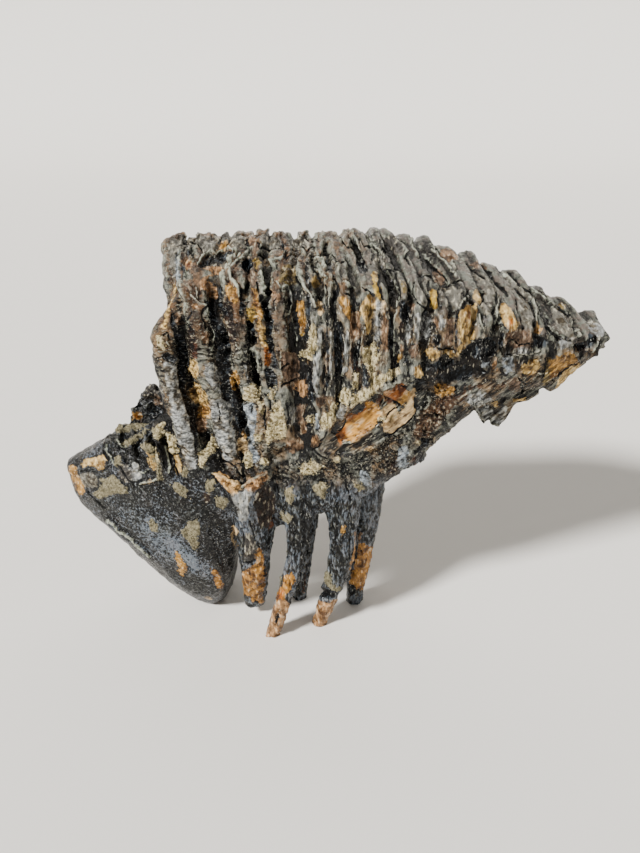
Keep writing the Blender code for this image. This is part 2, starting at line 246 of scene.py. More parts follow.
# Stained and worn places by colour, each an outline of pixels. Where two overlap, the later one lies on top.
STAINS = {
    "#6b685f": [  # grey facets of the grinding face and of the chip
        [(167, 240), (172, 236), (186, 233), (190, 242), (190, 250), (180, 252), (176, 262), (172, 282),
         (168, 262)],
        [(195, 238), (203, 232), (212, 234), (218, 241), (214, 248), (204, 249), (197, 246)],
        [(226, 234), (234, 230), (246, 234), (250, 244), (240, 247), (230, 243)],
        [(260, 236), (270, 231), (280, 238), (278, 246), (264, 247)],
        [(290, 240), (296, 234), (306, 237), (312, 245), (300, 246), (291, 244)],
        [(372, 252), (380, 254), (385, 262), (382, 270), (374, 264), (370, 257)],
        [(416, 280), (425, 281), (427, 297), (426, 306), (419, 300), (415, 289)],
        [(440, 284), (453, 284), (463, 290), (462, 304), (456, 309), (447, 307), (441, 298)],
        [(482, 303), (492, 300), (494, 313), (486, 315), (480, 309)],
        [(484, 288), (492, 288), (496, 298), (490, 300), (484, 296)],
        [(518, 300), (529, 301), (533, 314), (532, 328), (527, 330), (522, 318)],
        [(552, 308), (557, 308), (563, 318), (569, 328), (577, 337), (572, 340), (564, 334), (557, 325),
         (553, 316)],
        [(470, 274), (478, 272), (494, 286), (503, 298), (494, 294), (482, 284)],
        [(498, 276), (506, 276), (524, 291), (534, 300), (520, 296), (506, 286)],
        [(82, 471), (92, 471), (99, 480), (98, 487), (88, 488), (80, 480)],
        [(334, 262), (340, 261), (344, 268), (344, 280), (338, 281), (334, 274)],
    ],
    "#3f3c39": [  # dark grey facets
        [(141, 396), (150, 384), (155, 382), (166, 396), (163, 402), (158, 394), (150, 396), (145, 401)],
        [(118, 466), (126, 462), (134, 478), (128, 484), (120, 478)],
        [(243, 535), (250, 533), (257, 545), (258, 558), (248, 563), (244, 555)],
        [(383, 236), (394, 234), (404, 248), (398, 252), (390, 248)],
    ],
    "#969896": [  # pale grey bodies of the columns, partly a painted highlight on their glossy sides, and bare facets
        [(163, 362), (176, 364), (181, 380), (184, 400), (190, 420), (194, 440), (197, 460), (195, 470),
         (189, 470), (182, 456), (176, 436), (171, 416), (168, 396), (164, 378)],
        [(204, 364), (214, 362), (221, 376), (219, 386), (212, 392), (206, 380)],
        [(210, 403), (221, 398), (230, 402), (233, 420), (237, 440), (237, 457), (232, 463), (226, 462),
         (219, 448), (213, 430), (210, 415)],
        [(313, 352), (321, 350), (322, 366), (320, 384), (318, 402), (313, 396), (311, 376)],
        [(320, 326), (324, 330), (323, 346), (319, 348), (317, 338)],
        [(330, 330), (333, 334), (333, 366), (330, 392), (327, 392), (329, 366), (329, 344)],
        [(345, 332), (349, 334), (349, 352), (346, 372), (342, 376), (343, 354)],
        [(374, 300), (379, 300), (379, 330), (378, 342), (373, 340), (373, 318)],
        [(407, 320), (409, 322), (412, 332), (410, 343), (406, 342), (407, 332)],
        [(414, 312), (424, 314), (424, 338), (419, 344), (414, 334)],
        [(427, 312), (430, 316), (430, 332), (428, 343), (425, 334)],
        [(440, 316), (446, 318), (446, 328), (440, 330)],
        [(588, 321), (594, 321), (602, 328), (605, 335), (603, 338), (597, 337), (590, 331)],
        [(131, 462), (134, 460), (138, 466), (141, 478), (136, 481), (132, 472)],
        [(464, 395), (488, 393), (492, 402), (489, 414), (485, 423), (476, 416), (470, 406)],
        [(492, 410), (506, 406), (508, 416), (502, 425), (492, 421)],
        [(506, 352), (520, 347), (532, 349), (530, 354), (516, 357), (506, 360)],
        [(552, 344), (562, 340), (570, 344), (568, 349), (554, 349)],
        [(246, 366), (253, 366), (252, 377), (246, 378)],
        [(293, 408), (297, 410), (297, 424), (294, 426), (291, 416)],
        [(222, 382), (226, 384), (224, 392), (219, 393)],
        [(338, 404), (346, 404), (344, 420), (338, 420)],
        [(230, 495), (240, 489), (252, 492), (250, 502), (248, 512), (246, 524), (240, 521), (236, 510)],
    ],
    "#969fa6": [  # blue-grey, glossy
        [(242, 403), (252, 404), (256, 412), (258, 424), (253, 432), (254, 446), (259, 456), (257, 466),
         (252, 462), (249, 446), (246, 430), (243, 416)],
        [(399, 447), (408, 446), (411, 456), (408, 466), (402, 473), (397, 466)],
        [(360, 472), (368, 472), (372, 482), (368, 487), (360, 480)],
        [(312, 413), (316, 416), (318, 428), (314, 430), (312, 422)],
        [(176, 252), (179, 250), (179, 276), (176, 288), (174, 270)],
        [(484, 364), (491, 365), (488, 374), (482, 374)],
        [(504, 362), (514, 361), (514, 372), (506, 374)],
    ],
    "#281a12": [  # dark brown
        [(187, 328), (194, 330), (198, 346), (198, 359), (192, 361), (188, 350)],
        [(224, 302), (230, 306), (234, 322), (236, 340), (232, 350), (228, 336), (224, 320)],
        [(350, 338), (360, 340), (360, 372), (352, 376), (350, 356)],
        [(398, 322), (406, 322), (406, 340), (400, 342)],
        [(255, 490), (268, 485), (276, 496), (275, 512), (268, 527), (261, 530), (256, 512)],
        [(572, 344), (588, 340), (590, 352), (582, 358), (578, 350)],
        [(384, 462), (396, 462), (398, 474), (388, 478)],
        [(203, 492), (210, 494), (208, 505), (203, 502)],
    ],
    "#45301f": [  # brown of the bare base
        [(420, 410), (440, 398), (466, 390), (470, 396), (452, 408), (440, 424), (430, 436), (416, 440),
         (414, 424)],
        [(464, 386), (490, 385), (506, 383), (504, 387), (480, 389), (464, 390)],
    ],
    "#6b5645": [  # brown dentine
        [(183, 278), (188, 280), (192, 292), (190, 298), (185, 292)],
        [(283, 353), (296, 352), (300, 364), (297, 384), (287, 387), (282, 372)],
        [(240, 270), (252, 266), (258, 276), (252, 284), (243, 280)],
        [(296, 404), (306, 404), (304, 420), (298, 426)],
        [(312, 398), (326, 398), (324, 410), (314, 410)],
        [(408, 300), (414, 302), (412, 312), (408, 312)],
        [(448, 318), (453, 320), (453, 348), (446, 348), (446, 336)],
        [(506, 332), (520, 328), (531, 331), (533, 342), (528, 349), (514, 350), (506, 344)],
        [(151, 397), (158, 398), (161, 404), (155, 409), (150, 403)],
        [(408, 346), (420, 346), (420, 356), (412, 360)],
        [(324, 350), (328, 352), (328, 374), (324, 376)],
        [(432, 268), (440, 268), (444, 280), (438, 284), (432, 278)],
        [(470, 262), (480, 260), (490, 268), (484, 270), (474, 268)],
        [(508, 380), (520, 376), (520, 390), (510, 390)],
    ],
    "#84684f": [  # pinkish dentine
        [(268, 286), (274, 290), (281, 292), (282, 299), (276, 306), (272, 298)],
        [(203, 333), (209, 333), (209, 343), (204, 344)],
        [(298, 421), (306, 420), (306, 433), (300, 432)],
        [(197, 420), (206, 418), (207, 432), (200, 434)],
        [(382, 314), (388, 318), (390, 340), (388, 356), (382, 350), (380, 330)],
        [(432, 316), (439, 316), (440, 330), (434, 332)],
        [(399, 344), (404, 346), (404, 360), (399, 360)],
        [(311, 436), (319, 436), (323, 440), (318, 446), (311, 446)],
        [(286, 442), (300, 438), (304, 448), (294, 454), (286, 450)],
        [(352, 312), (358, 312), (360, 328), (356, 342), (350, 338), (350, 326)],
        [(250, 232), (258, 238), (260, 248), (254, 250), (250, 242)],
        [(442, 248), (452, 250), (458, 258), (450, 260), (442, 254)],
        [(175, 312), (180, 310), (182, 324), (177, 326)],
        [(356, 532), (362, 534), (360, 541), (355, 540)],
    ],
    "#655530": [  # olive-brown
        [(278, 266), (288, 262), (296, 268), (296, 280), (288, 286), (280, 280)],
        [(560, 300), (566, 304), (562, 312), (558, 308)],
        [(546, 358), (552, 356), (552, 378), (548, 388), (543, 386), (545, 370)],
        [(394, 414), (402, 408), (401, 414), (392, 426), (388, 426)],
        [(400, 280), (408, 282), (408, 294), (402, 294)],
    ],
    "#c4a365": [  # tan
        [(312, 277), (319, 276), (321, 283), (316, 287), (311, 283)],
        [(560, 377), (564, 370), (575, 366), (579, 363), (582, 366), (575, 377), (567, 385), (560, 393),
         (557, 396), (556, 388)],
        [(171, 280), (175, 280), (175, 292), (171, 302), (168, 312), (166, 322), (162, 322), (163, 310),
         (166, 299)],
        [(162, 321), (167, 322), (165, 330), (160, 331)],
        [(146, 450), (152, 450), (156, 460), (158, 470), (152, 470), (148, 462)],
        [(189, 361), (197, 361), (199, 372), (196, 380), (191, 377), (187, 370)],
        [(192, 385), (199, 386), (207, 395), (208, 403), (196, 404), (191, 396)],
        [(255, 324), (263, 324), (269, 334), (269, 345), (263, 347), (258, 336)],
        [(362, 305), (366, 296), (372, 294), (375, 300), (373, 312), (371, 328), (372, 338), (367, 334),
         (364, 322)],
        [(360, 306), (366, 306), (366, 318), (361, 316)],
        [(424, 350), (432, 348), (440, 352), (440, 358), (432, 361), (426, 358)],
        [(444, 352), (452, 352), (454, 359), (446, 361)],
        [(459, 312), (464, 308), (470, 304), (475, 303), (478, 308), (477, 317), (474, 320), (472, 324),
         (475, 332), (474, 339), (468, 345), (466, 351), (461, 354), (458, 359), (458, 348), (461, 344),
         (458, 336), (458, 325)],
        [(474, 291), (478, 290), (484, 297), (482, 303), (477, 303), (473, 297)],
        [(501, 304), (506, 303), (511, 309), (514, 316), (519, 320), (518, 328), (513, 331), (507, 329),
         (503, 321), (500, 314)],
        [(79, 461), (90, 458), (104, 455), (107, 459), (105, 466), (102, 472), (96, 469), (88, 466),
         (82, 467)],
        [(521, 368), (530, 361), (540, 359), (541, 366), (534, 375), (525, 375)],
        [(416, 366), (421, 366), (423, 374), (418, 378), (414, 372)],
        [(396, 356), (402, 354), (402, 361), (397, 362)],
        [(493, 404), (496, 400), (500, 401), (499, 407)],
        [(512, 399), (526, 397), (524, 401), (514, 402)],
        [(171, 455), (176, 455), (180, 464), (182, 472), (178, 476), (174, 466)],
    ],
    "#f6c886": [  # cream, worn bare where two roots meet
        [(213, 473), (220, 471), (229, 478), (238, 483), (243, 487), (238, 494), (230, 494), (222, 485),
         (216, 478)],
    ],
    "#c69144": [  # golden dentine of the broken root
        [(341, 430), (352, 419), (360, 411), (366, 404), (372, 402), (378, 407), (382, 413), (381, 420),
         (379, 430), (370, 437), (362, 442), (352, 446), (344, 445)],
    ],
    "#a97e3c": [  # ochre
        [(225, 284), (230, 281), (236, 287), (238, 297), (236, 304), (230, 302), (226, 295)],
        [(232, 372), (236, 371), (239, 381), (238, 393), (232, 391), (230, 382)],
        [(251, 286), (258, 288), (260, 300), (263, 314), (260, 324), (254, 318), (252, 302)],
        [(337, 297), (343, 295), (348, 299), (353, 310), (351, 319), (346, 318), (341, 309)],
        [(297, 300), (303, 300), (304, 316), (306, 320), (305, 332), (299, 326), (297, 314)],
        [(200, 404), (208, 403), (210, 412), (207, 420), (200, 418), (197, 410)],
        [(220, 240), (228, 240), (230, 246), (224, 248), (219, 245)],
        [(242, 433), (246, 430), (249, 436), (244, 438)],
        [(549, 360), (557, 356), (568, 352), (577, 355), (579, 362), (572, 368), (562, 370), (556, 378),
         (550, 376)],
        [(433, 386), (445, 384), (456, 388), (452, 394), (440, 397), (434, 392)],
        [(132, 413), (136, 410), (141, 414), (139, 419), (133, 420)],
        [(172, 552), (176, 552), (186, 566), (188, 573), (182, 572), (176, 562)],
        [(68, 470), (71, 464), (76, 466), (79, 474), (82, 484), (85, 493), (80, 496), (74, 488), (70, 478)],
        [(176, 570), (183, 570), (185, 574), (180, 577)],
        [(340, 527), (345, 526), (346, 533), (342, 536)],
        [(537, 321), (541, 326), (543, 332), (538, 334), (535, 330)],
        [(404, 396), (412, 391), (414, 398), (410, 405), (402, 409), (400, 404)],
    ],
    "#a87632": [  # burnt orange of the root tips
        [(211, 568), (216, 570), (221, 578), (225, 585), (221, 590), (215, 584), (212, 576)],
        [(242, 571), (248, 567), (256, 564), (258, 548), (263, 549), (265, 562), (265, 584), (263, 603),
         (252, 602), (243, 594), (241, 581)],
        [(283, 578), (292, 574), (296, 580), (290, 590), (284, 600), (276, 602), (278, 590)],
        [(355, 546), (360, 542), (367, 545), (375, 548), (374, 560), (370, 577), (366, 590), (357, 590),
         (350, 583), (351, 566)],
    ],
    "#b39344": [  # yellow
        [(246, 308), (255, 307), (257, 316), (253, 323), (247, 320)],
        [(371, 271), (376, 272), (379, 283), (382, 293), (379, 301), (375, 296), (373, 285)],
        [(430, 288), (437, 290), (438, 304), (434, 312), (429, 304)],
        [(300, 330), (305, 331), (304, 338), (300, 338)],
        [(252, 257), (260, 256), (263, 262), (256, 266), (252, 263)],
    ],
    "#ab8258": [  # orange-pink
        [(201, 278), (210, 276), (213, 286), (217, 296), (214, 300), (208, 293), (203, 288)],
        [(270, 614), (274, 602), (284, 600), (290, 606), (290, 616), (288, 628), (284, 640), (270, 643),
         (264, 634)],
        [(314, 604), (319, 600), (326, 603), (334, 600), (342, 597), (340, 610), (334, 620), (328, 630),
         (314, 632), (310, 616)],
        [(297, 381), (304, 380), (307, 388), (307, 397), (301, 397), (296, 390)],
        [(204, 268), (212, 262), (222, 263), (221, 270), (211, 273)],
        [(186, 258), (191, 260), (191, 267), (186, 268), (182, 262)],
        [(244, 487), (248, 479), (256, 478), (262, 473), (268, 472), (269, 478), (262, 485), (254, 491),
         (246, 493)],
        [(190, 302), (198, 302), (199, 308), (192, 310)],
        [(312, 437), (318, 437), (317, 441), (312, 441)],
        [(386, 392), (392, 390), (392, 400), (386, 404), (382, 400)],
        [(494, 364), (499, 363), (500, 371), (494, 373)],
    ],
    "#9c5a20": [  # deep orange
        [(334, 436), (338, 430), (345, 427), (347, 434), (345, 442), (341, 447), (336, 444)],
        [(346, 424), (352, 418), (360, 410), (365, 405), (367, 408), (360, 415), (352, 423), (347, 428)],
        [(393, 388), (398, 382), (405, 384), (407, 391), (404, 398), (399, 403), (392, 401), (390, 396)],
        [(263, 346), (270, 346), (271, 358), (270, 367), (266, 367), (264, 358)],
        [(508, 318), (514, 320), (515, 326), (510, 326)],
        [(134, 414), (137, 414), (137, 418), (134, 418)],
        [(279, 590), (284, 590), (282, 600), (277, 600)],
        [(302, 572), (306, 576), (304, 592), (299, 590)],
    ],
    "#5a3522": [  # rust
        [(413, 456), (418, 455), (416, 465), (410, 470)],
        [(388, 398), (394, 401), (400, 404), (392, 408), (386, 406)],
        [(354, 358), (358, 360), (358, 372), (354, 372)],
        [(270, 521), (273, 519), (273, 527), (269, 531)],
        [(466, 311), (471, 310), (471, 320), (466, 321)],
        [(376, 395), (381, 396), (381, 406), (377, 406)],
        [(186, 262), (190, 261), (190, 266), (187, 267)],
        [(193, 344), (197, 346), (198, 358), (194, 359)],
        [(252, 290), (256, 292), (258, 306), (254, 306)],
    ],
    "#c8aa7c": [  # pale pinkish tan, worn bare
        [(416, 388), (419, 392), (418, 403), (414, 411), (408, 419), (400, 426), (392, 431), (386, 434),
         (384, 430), (392, 424), (400, 418), (408, 410), (412, 400), (414, 392)],
        [(346, 428), (351, 428), (350, 435), (345, 434)],
        [(237, 438), (242, 438), (249, 440), (248, 450), (243, 455), (238, 450)],
        [(142, 484), (150, 480), (152, 482), (144, 486)],
        [(204, 596), (208, 596), (213, 600), (208, 601)],
        [(232, 526), (236, 528), (237, 534), (234, 537), (237, 545), (236, 549), (233, 545), (231, 536),
         (233, 532)],
        [(382, 300), (386, 302), (386, 314), (382, 314)],
        [(364, 448), (370, 445), (376, 447), (373, 452), (367, 451)],
        [(380, 412), (390, 406), (398, 408), (400, 412), (394, 420), (388, 427), (381, 424)],
        [(317, 300), (322, 302), (324, 314), (319, 314)],
    ],
}

# Patches of sandy crust.
CRUST = [
    [(115, 431), (122, 427), (130, 425), (140, 421), (145, 419), (147, 423), (138, 427), (130, 431),
     (120, 435)],
    [(122, 443), (128, 440), (137, 435), (147, 428), (149, 431), (140, 438), (133, 444), (126, 447)],
    [(152, 434), (154, 428), (162, 422), (165, 424), (163, 436), (156, 439)],
    [(165, 432), (172, 434), (177, 438), (175, 446), (179, 452), (172, 454), (166, 450), (168, 444)],
    [(141, 446), (149, 440), (154, 446), (158, 456), (161, 470), (162, 481), (157, 481), (156, 470),
     (152, 456), (146, 450)],
    [(117, 454), (122, 460), (123, 466), (118, 467), (116, 460)],
    [(99, 477), (108, 479), (112, 473), (118, 478), (126, 488), (128, 493), (115, 493), (108, 496),
     (100, 498), (93, 493), (100, 488), (104, 484)],
    [(174, 484), (180, 482), (188, 492), (187, 498), (180, 495), (175, 490)],
    [(148, 522), (152, 519), (157, 524), (158, 530), (152, 531)],
    [(180, 531), (190, 522), (198, 519), (200, 530), (197, 537), (200, 546), (194, 548), (188, 540)],
    [(206, 481), (214, 479), (215, 490), (208, 493)],
    [(215, 498), (222, 495), (229, 504), (224, 509), (217, 506)],
    [(212, 436), (217, 446), (216, 452), (208, 456), (205, 466), (198, 467), (199, 455), (204, 450),
     (208, 443)],
    [(246, 450), (252, 452), (253, 465), (246, 469), (242, 460)],
    [(262, 458), (268, 457), (270, 463), (266, 467), (261, 464)],
    [(255, 433), (261, 434), (261, 441), (255, 441)],
    [(243, 388), (250, 383), (258, 385), (261, 392), (258, 400), (250, 403), (244, 398)],
    [(273, 402), (280, 402), (284, 415), (288, 430), (284, 438), (275, 439), (268, 447), (264, 436),
     (268, 425), (272, 412)],
    [(258, 402), (263, 403), (262, 414), (258, 412)],
    [(311, 324), (315, 326), (318, 336), (317, 350), (314, 355), (311, 361), (305, 358), (299, 357),
     (299, 352), (306, 350), (310, 347), (309, 338), (310, 330)],
    [(369, 344), (374, 342), (379, 352), (378, 362), (374, 371), (378, 376), (385, 374), (392, 369),
     (399, 367), (401, 372), (392, 379), (385, 383), (378, 389), (368, 396), (360, 403), (354, 401),
     (361, 390), (369, 388), (371, 380), (369, 372), (364, 362), (362, 350)],
    [(353, 374), (357, 373), (358, 388), (354, 388)],
    [(338, 401), (339, 392), (345, 387), (351, 392), (353, 398), (348, 405), (342, 403)],
    [(352, 396), (360, 391), (368, 388), (366, 394), (358, 402), (350, 406)],
    [(317, 424), (324, 417), (328, 411), (332, 403), (338, 404), (338, 412), (334, 419), (330, 427),
     (322, 430)],
    [(306, 418), (311, 417), (311, 423), (307, 423)],
    [(301, 465), (310, 460), (318, 463), (323, 466), (318, 470), (313, 473), (304, 476), (300, 470)],
    [(334, 457), (339, 456), (340, 461), (335, 462)],
    [(313, 488), (318, 482), (324, 484), (331, 485), (326, 490), (326, 501), (322, 498), (315, 493)],
    [(354, 482), (360, 483), (366, 488), (360, 491), (355, 487)],
    [(286, 489), (292, 487), (295, 496), (292, 505), (286, 500)],
    [(280, 509), (288, 514), (292, 517), (288, 524), (282, 519)],
    [(283, 550), (285, 552), (283, 566), (280, 580), (277, 591), (274, 590), (278, 576), (281, 562)],
    [(325, 571), (332, 576), (334, 584), (343, 588), (338, 592), (330, 589), (325, 582)],
    [(415, 441), (420, 440), (420, 444), (416, 445)],
    [(380, 420), (388, 418), (386, 424), (380, 426)],
    [(184, 466), (188, 470), (186, 478), (182, 474)],
    [(270, 388), (274, 388), (273, 400), (269, 400)],
    [(156, 336), (161, 336), (164, 344), (164, 350), (158, 349)],
]

# Black, shiny places: the gaps between the columns, hollows and dark facets. Some are black in their own
# colour; the gaps between the columns, between the lobe and the first root and behind the second root are
# near-black painted shadow.
BLACK_AND_SHADE = [
    [(171, 310), (176, 312), (178, 330), (184, 344), (188, 352), (187, 362), (185, 374), (189, 392),
     (196, 408), (198, 426), (199, 446), (198, 464), (195, 462), (194, 440), (190, 420), (184, 402),
     (180, 386), (180, 370), (179, 350), (176, 338), (170, 322)],
    [(204, 300), (209, 302), (214, 312), (220, 322), (229, 336), (230, 358), (231, 380), (233, 398),
     (238, 404), (244, 414), (248, 428), (240, 433), (235, 424), (231, 404), (224, 398), (221, 384),
     (217, 362), (216, 340), (210, 322)],
    [(218, 284), (221, 286), (222, 302), (228, 314), (224, 316), (219, 304)],
    [(239, 286), (244, 288), (246, 304), (245, 318), (240, 316), (240, 300)],
    [(247, 322), (254, 324), (255, 344), (250, 344)],
    [(262, 298), (267, 304), (272, 320), (272, 350), (276, 366), (272, 368), (268, 344), (266, 322)],
    [(305, 292), (310, 302), (310, 340), (306, 342), (305, 320), (303, 304)],
    [(306, 366), (311, 366), (311, 382), (315, 394), (314, 404), (308, 404), (306, 388)],
    [(327, 306), (329, 308), (329, 394), (326, 396), (326, 350)],
    [(336, 322), (341, 322), (341, 372), (336, 376), (335, 350)],
    [(356, 336), (360, 338), (358, 374), (354, 376), (354, 356)],
    [(361, 364), (368, 364), (369, 388), (361, 388)],
    [(390, 312), (394, 314), (394, 340), (391, 360), (389, 340)],
    [(400, 300), (406, 298), (410, 306), (408, 320), (404, 324), (399, 316)],
    [(411, 322), (413, 324), (413, 346), (410, 346)],
    [(425, 310), (427, 312), (426, 330), (424, 344)],
    [(431, 334), (442, 334), (440, 348), (432, 348)],
    [(455, 312), (458, 312), (458, 340), (455, 350)],
    [(405, 344), (410, 346), (408, 364), (404, 362)],
    [(466, 347), (480, 340), (491, 336), (495, 346), (496, 356), (486, 362), (474, 360), (468, 356)],
    [(428, 364), (442, 362), (456, 362), (454, 370), (438, 372), (428, 371)],
    [(432, 376), (448, 376), (462, 370), (474, 366), (474, 376), (460, 382), (440, 382)],
    [(500, 332), (505, 334), (506, 350), (502, 356), (498, 344)],
    [(535, 336), (544, 337), (550, 346), (540, 349), (534, 344)],
    [(544, 315), (550, 317), (550, 325), (546, 326)],
    [(574, 343), (586, 342), (588, 348), (580, 350)],
    [(590, 331), (598, 337), (595, 344), (590, 351), (587, 346), (588, 337)],
    [(600, 338), (605, 338), (599, 348), (594, 353)],
    [(180, 262), (183, 262), (185, 270), (181, 277), (179, 270)],
    [(183, 250), (192, 250), (195, 254), (188, 255)],
    [(200, 264), (204, 259), (212, 256), (218, 250), (235, 250), (233, 256), (224, 261), (214, 259),
     (206, 265)],
    [(239, 267), (243, 260), (248, 257), (253, 258), (252, 267), (248, 272), (243, 271)],
    [(278, 240), (284, 241), (284, 246), (278, 245)],
    [(305, 262), (308, 264), (312, 282), (316, 292), (310, 290), (306, 276)],
    [(326, 254), (330, 262), (334, 274), (330, 274), (326, 264)],
    [(356, 258), (364, 258), (368, 268), (362, 274), (357, 268)],
    [(145, 412), (150, 409), (153, 406), (161, 407), (162, 411), (156, 419), (150, 422), (146, 420)],
    [(79, 470), (86, 468), (94, 467), (98, 471), (88, 472), (80, 474)],
    [(208, 472), (212, 474), (220, 484), (230, 494), (234, 506), (229, 504), (221, 492), (212, 482)],
    [(270, 482), (278, 484), (281, 494), (276, 504), (274, 492)],
    [(205, 526), (228, 528), (234, 548), (234, 562), (230, 590), (223, 594), (224, 576), (216, 560),
     (213, 545)],
    [(300, 500), (308, 498), (311, 520), (309, 562), (304, 590), (299, 596), (300, 560), (302, 520)],
    [(318, 588), (326, 588), (340, 592), (338, 598), (330, 600), (320, 598)],
    [(275, 616), (279, 612), (280, 620), (277, 626), (274, 622)],
    [(347, 585), (355, 585), (356, 594), (348, 597)],
    [(320, 478), (328, 480), (328, 484), (320, 484)],
    [(263, 370), (270, 368), (278, 384), (276, 394), (268, 390)],
    [(159, 355), (170, 353), (178, 358), (174, 365), (164, 362)],
    [(120, 434), (124, 434), (124, 439), (119, 438)],
    [(132, 424), (140, 426), (146, 423), (144, 430), (136, 434), (132, 430)],
    [(420, 440), (432, 440), (424, 452), (416, 462), (418, 450)],
    [(158, 478), (161, 480), (162, 500), (158, 500)],
    [(410, 380), (416, 376), (424, 378), (430, 384), (420, 386)],
]

# Thin pale edges that stand out: worn enamel, plate rims and fins, and down the middle of some columns,
# pale stripes painted as their highlights. Each is a half width and a line of pixels.
RIDGES = [
    (1.6, [(179, 249), (178, 262), (177, 276), (178, 290)]),
    (1.8, [(179, 277), (183, 288), (186, 299)]),
    (1.7, [(187, 285), (191, 294), (200, 303), (205, 306), (208, 314), (207, 320), (212, 328), (215, 334),
           (211, 350)]),
    (1.3, [(195, 285), (198, 297)]),
    (1.3, [(198, 262), (202, 256), (208, 252), (216, 250), (226, 247), (237, 250)]),
    (2.1, [(253, 247), (247, 252), (240, 257), (234, 262), (230, 267), (229, 272)]),
    (1.2, [(240, 252), (232, 256), (227, 263), (226, 269)]),
    (1.8, [(230, 270), (230, 277), (234, 281), (238, 287), (239, 296)]),
    (2.1, [(221, 270), (222, 280)]),
    (1.5, [(260, 271), (262, 279), (263, 289)]),
    (1.6, [(262, 292), (265, 297), (268, 301)]),
    (1.5, [(272, 266), (277, 260), (283, 253), (286, 250)]),
    (1.8, [(277, 281), (282, 286), (288, 288), (292, 296), (293, 304), (289, 309), (288, 314)]),
    (1.4, [(291, 312), (292, 321), (295, 328), (297, 337), (296, 347)]),
    (1.8, [(301, 270), (301, 277), (305, 286), (310, 293), (312, 300), (315, 306)]),
    (1.4, [(316, 258), (322, 260), (324, 268)]),
    (1.4, [(320, 264), (322, 272), (327, 279)]),
    (3.0, [(338, 264), (339, 278)]),
    (1.2, [(344, 280), (350, 286), (356, 289)]),
    (1.2, [(350, 232), (356, 238), (358, 248)]),
    (1.3, [(368, 236), (372, 243), (379, 249), (384, 258)]),
    (1.5, [(396, 240), (402, 247), (406, 254)]),
    (1.4, [(410, 240), (413, 248), (418, 256)]),
    (1.2, [(431, 250), (438, 256), (444, 262), (452, 272), (456, 277)]),
    (1.3, [(452, 260), (455, 268)]),
    (1.2, [(503, 272), (515, 283)]),
    (1.3, [(520, 288), (527, 296), (533, 302), (536, 312), (537, 330)]),
    (1.2, [(530, 288), (540, 296), (548, 302), (554, 306)]),
    (1.2, [(570, 313), (572, 320), (571, 326)]),
    (1.2, [(575, 328), (579, 335)]),
    (1.6, [(499, 301), (497, 310), (497, 318), (495, 324)]),
    (1.2, [(480, 314), (481, 322), (484, 328)]),
    (1.5, [(467, 297), (462, 303), (460, 307)]),
    (1.2, [(600, 337), (596, 345), (592, 352)]),
    (1.2, [(505, 360), (520, 357), (530, 354), (539, 350)]),
    (1.2, [(533, 378), (540, 374)]),
    (1.2, [(533, 363), (541, 358)]),
    (1.2, [(396, 301), (397, 312), (395, 328), (394, 352)]),
    (1.2, [(393, 345), (394, 356)]),
    # Down the middle of the columns: pale stripes painted as their highlights.
    (1.8, [(321, 326), (320, 345), (318, 360), (316, 376), (317, 392)]),
    (1.3, [(331, 332), (331, 352), (331, 370), (330, 386), (327, 396)]),
    (1.6, [(347, 334), (346, 350), (345, 364), (343, 376)]),
    (1.2, [(365, 327), (362, 335), (361, 346), (360, 358), (361, 366)]),
    (1.2, [(378, 300), (377, 314)]),
    (1.4, [(251, 330), (251, 344), (256, 352), (259, 362), (259, 372)]),
    (1.2, [(235, 345), (240, 348), (243, 356)]),
    (1.2, [(234, 357), (242, 361)]),
    (1.2, [(200, 347), (212, 347)]),
    (1.2, [(199, 352), (213, 353)]),
    (1.2, [(201, 357), (213, 358)]),
    (1.2, [(199, 377), (205, 383), (210, 388)]),
    (1.2, [(158, 352), (167, 351)]),
    (1.2, [(166, 340), (170, 346)]),
    (1.2, [(282, 352), (280, 364), (282, 378)]),
    (1.2, [(376, 378), (384, 402), (378, 410)]),
    (1.2, [(384, 408), (388, 402)]),
    (1.8, [(213, 473), (222, 477), (232, 482), (240, 487)]),
    (1.8, [(242, 488), (250, 481), (258, 477), (267, 473)]),
    (1.3, [(336, 440), (340, 447), (350, 446), (362, 441), (376, 432)]),
    (1.3, [(384, 388), (392, 384), (400, 380)]),
    (1.2, [(108, 519), (125, 534), (143, 549), (150, 556)]),
    (1.2, [(140, 484), (150, 481), (158, 478)]),
    (1.2, [(117, 440), (122, 446), (128, 447)]),
    (1.2, [(106, 446), (110, 456), (118, 466)]),
    (1.2, [(136, 470), (144, 474), (148, 470)]),
    (1.2, [(149, 446), (156, 462), (160, 478)]),
    (1.3, [(164, 446), (167, 460), (168, 472)]),
    (1.2, [(470, 400), (478, 412), (484, 420)]),
    (1.2, [(480, 398), (486, 408)]),
    (1.2, [(404, 384), (410, 380), (416, 384)]),
]
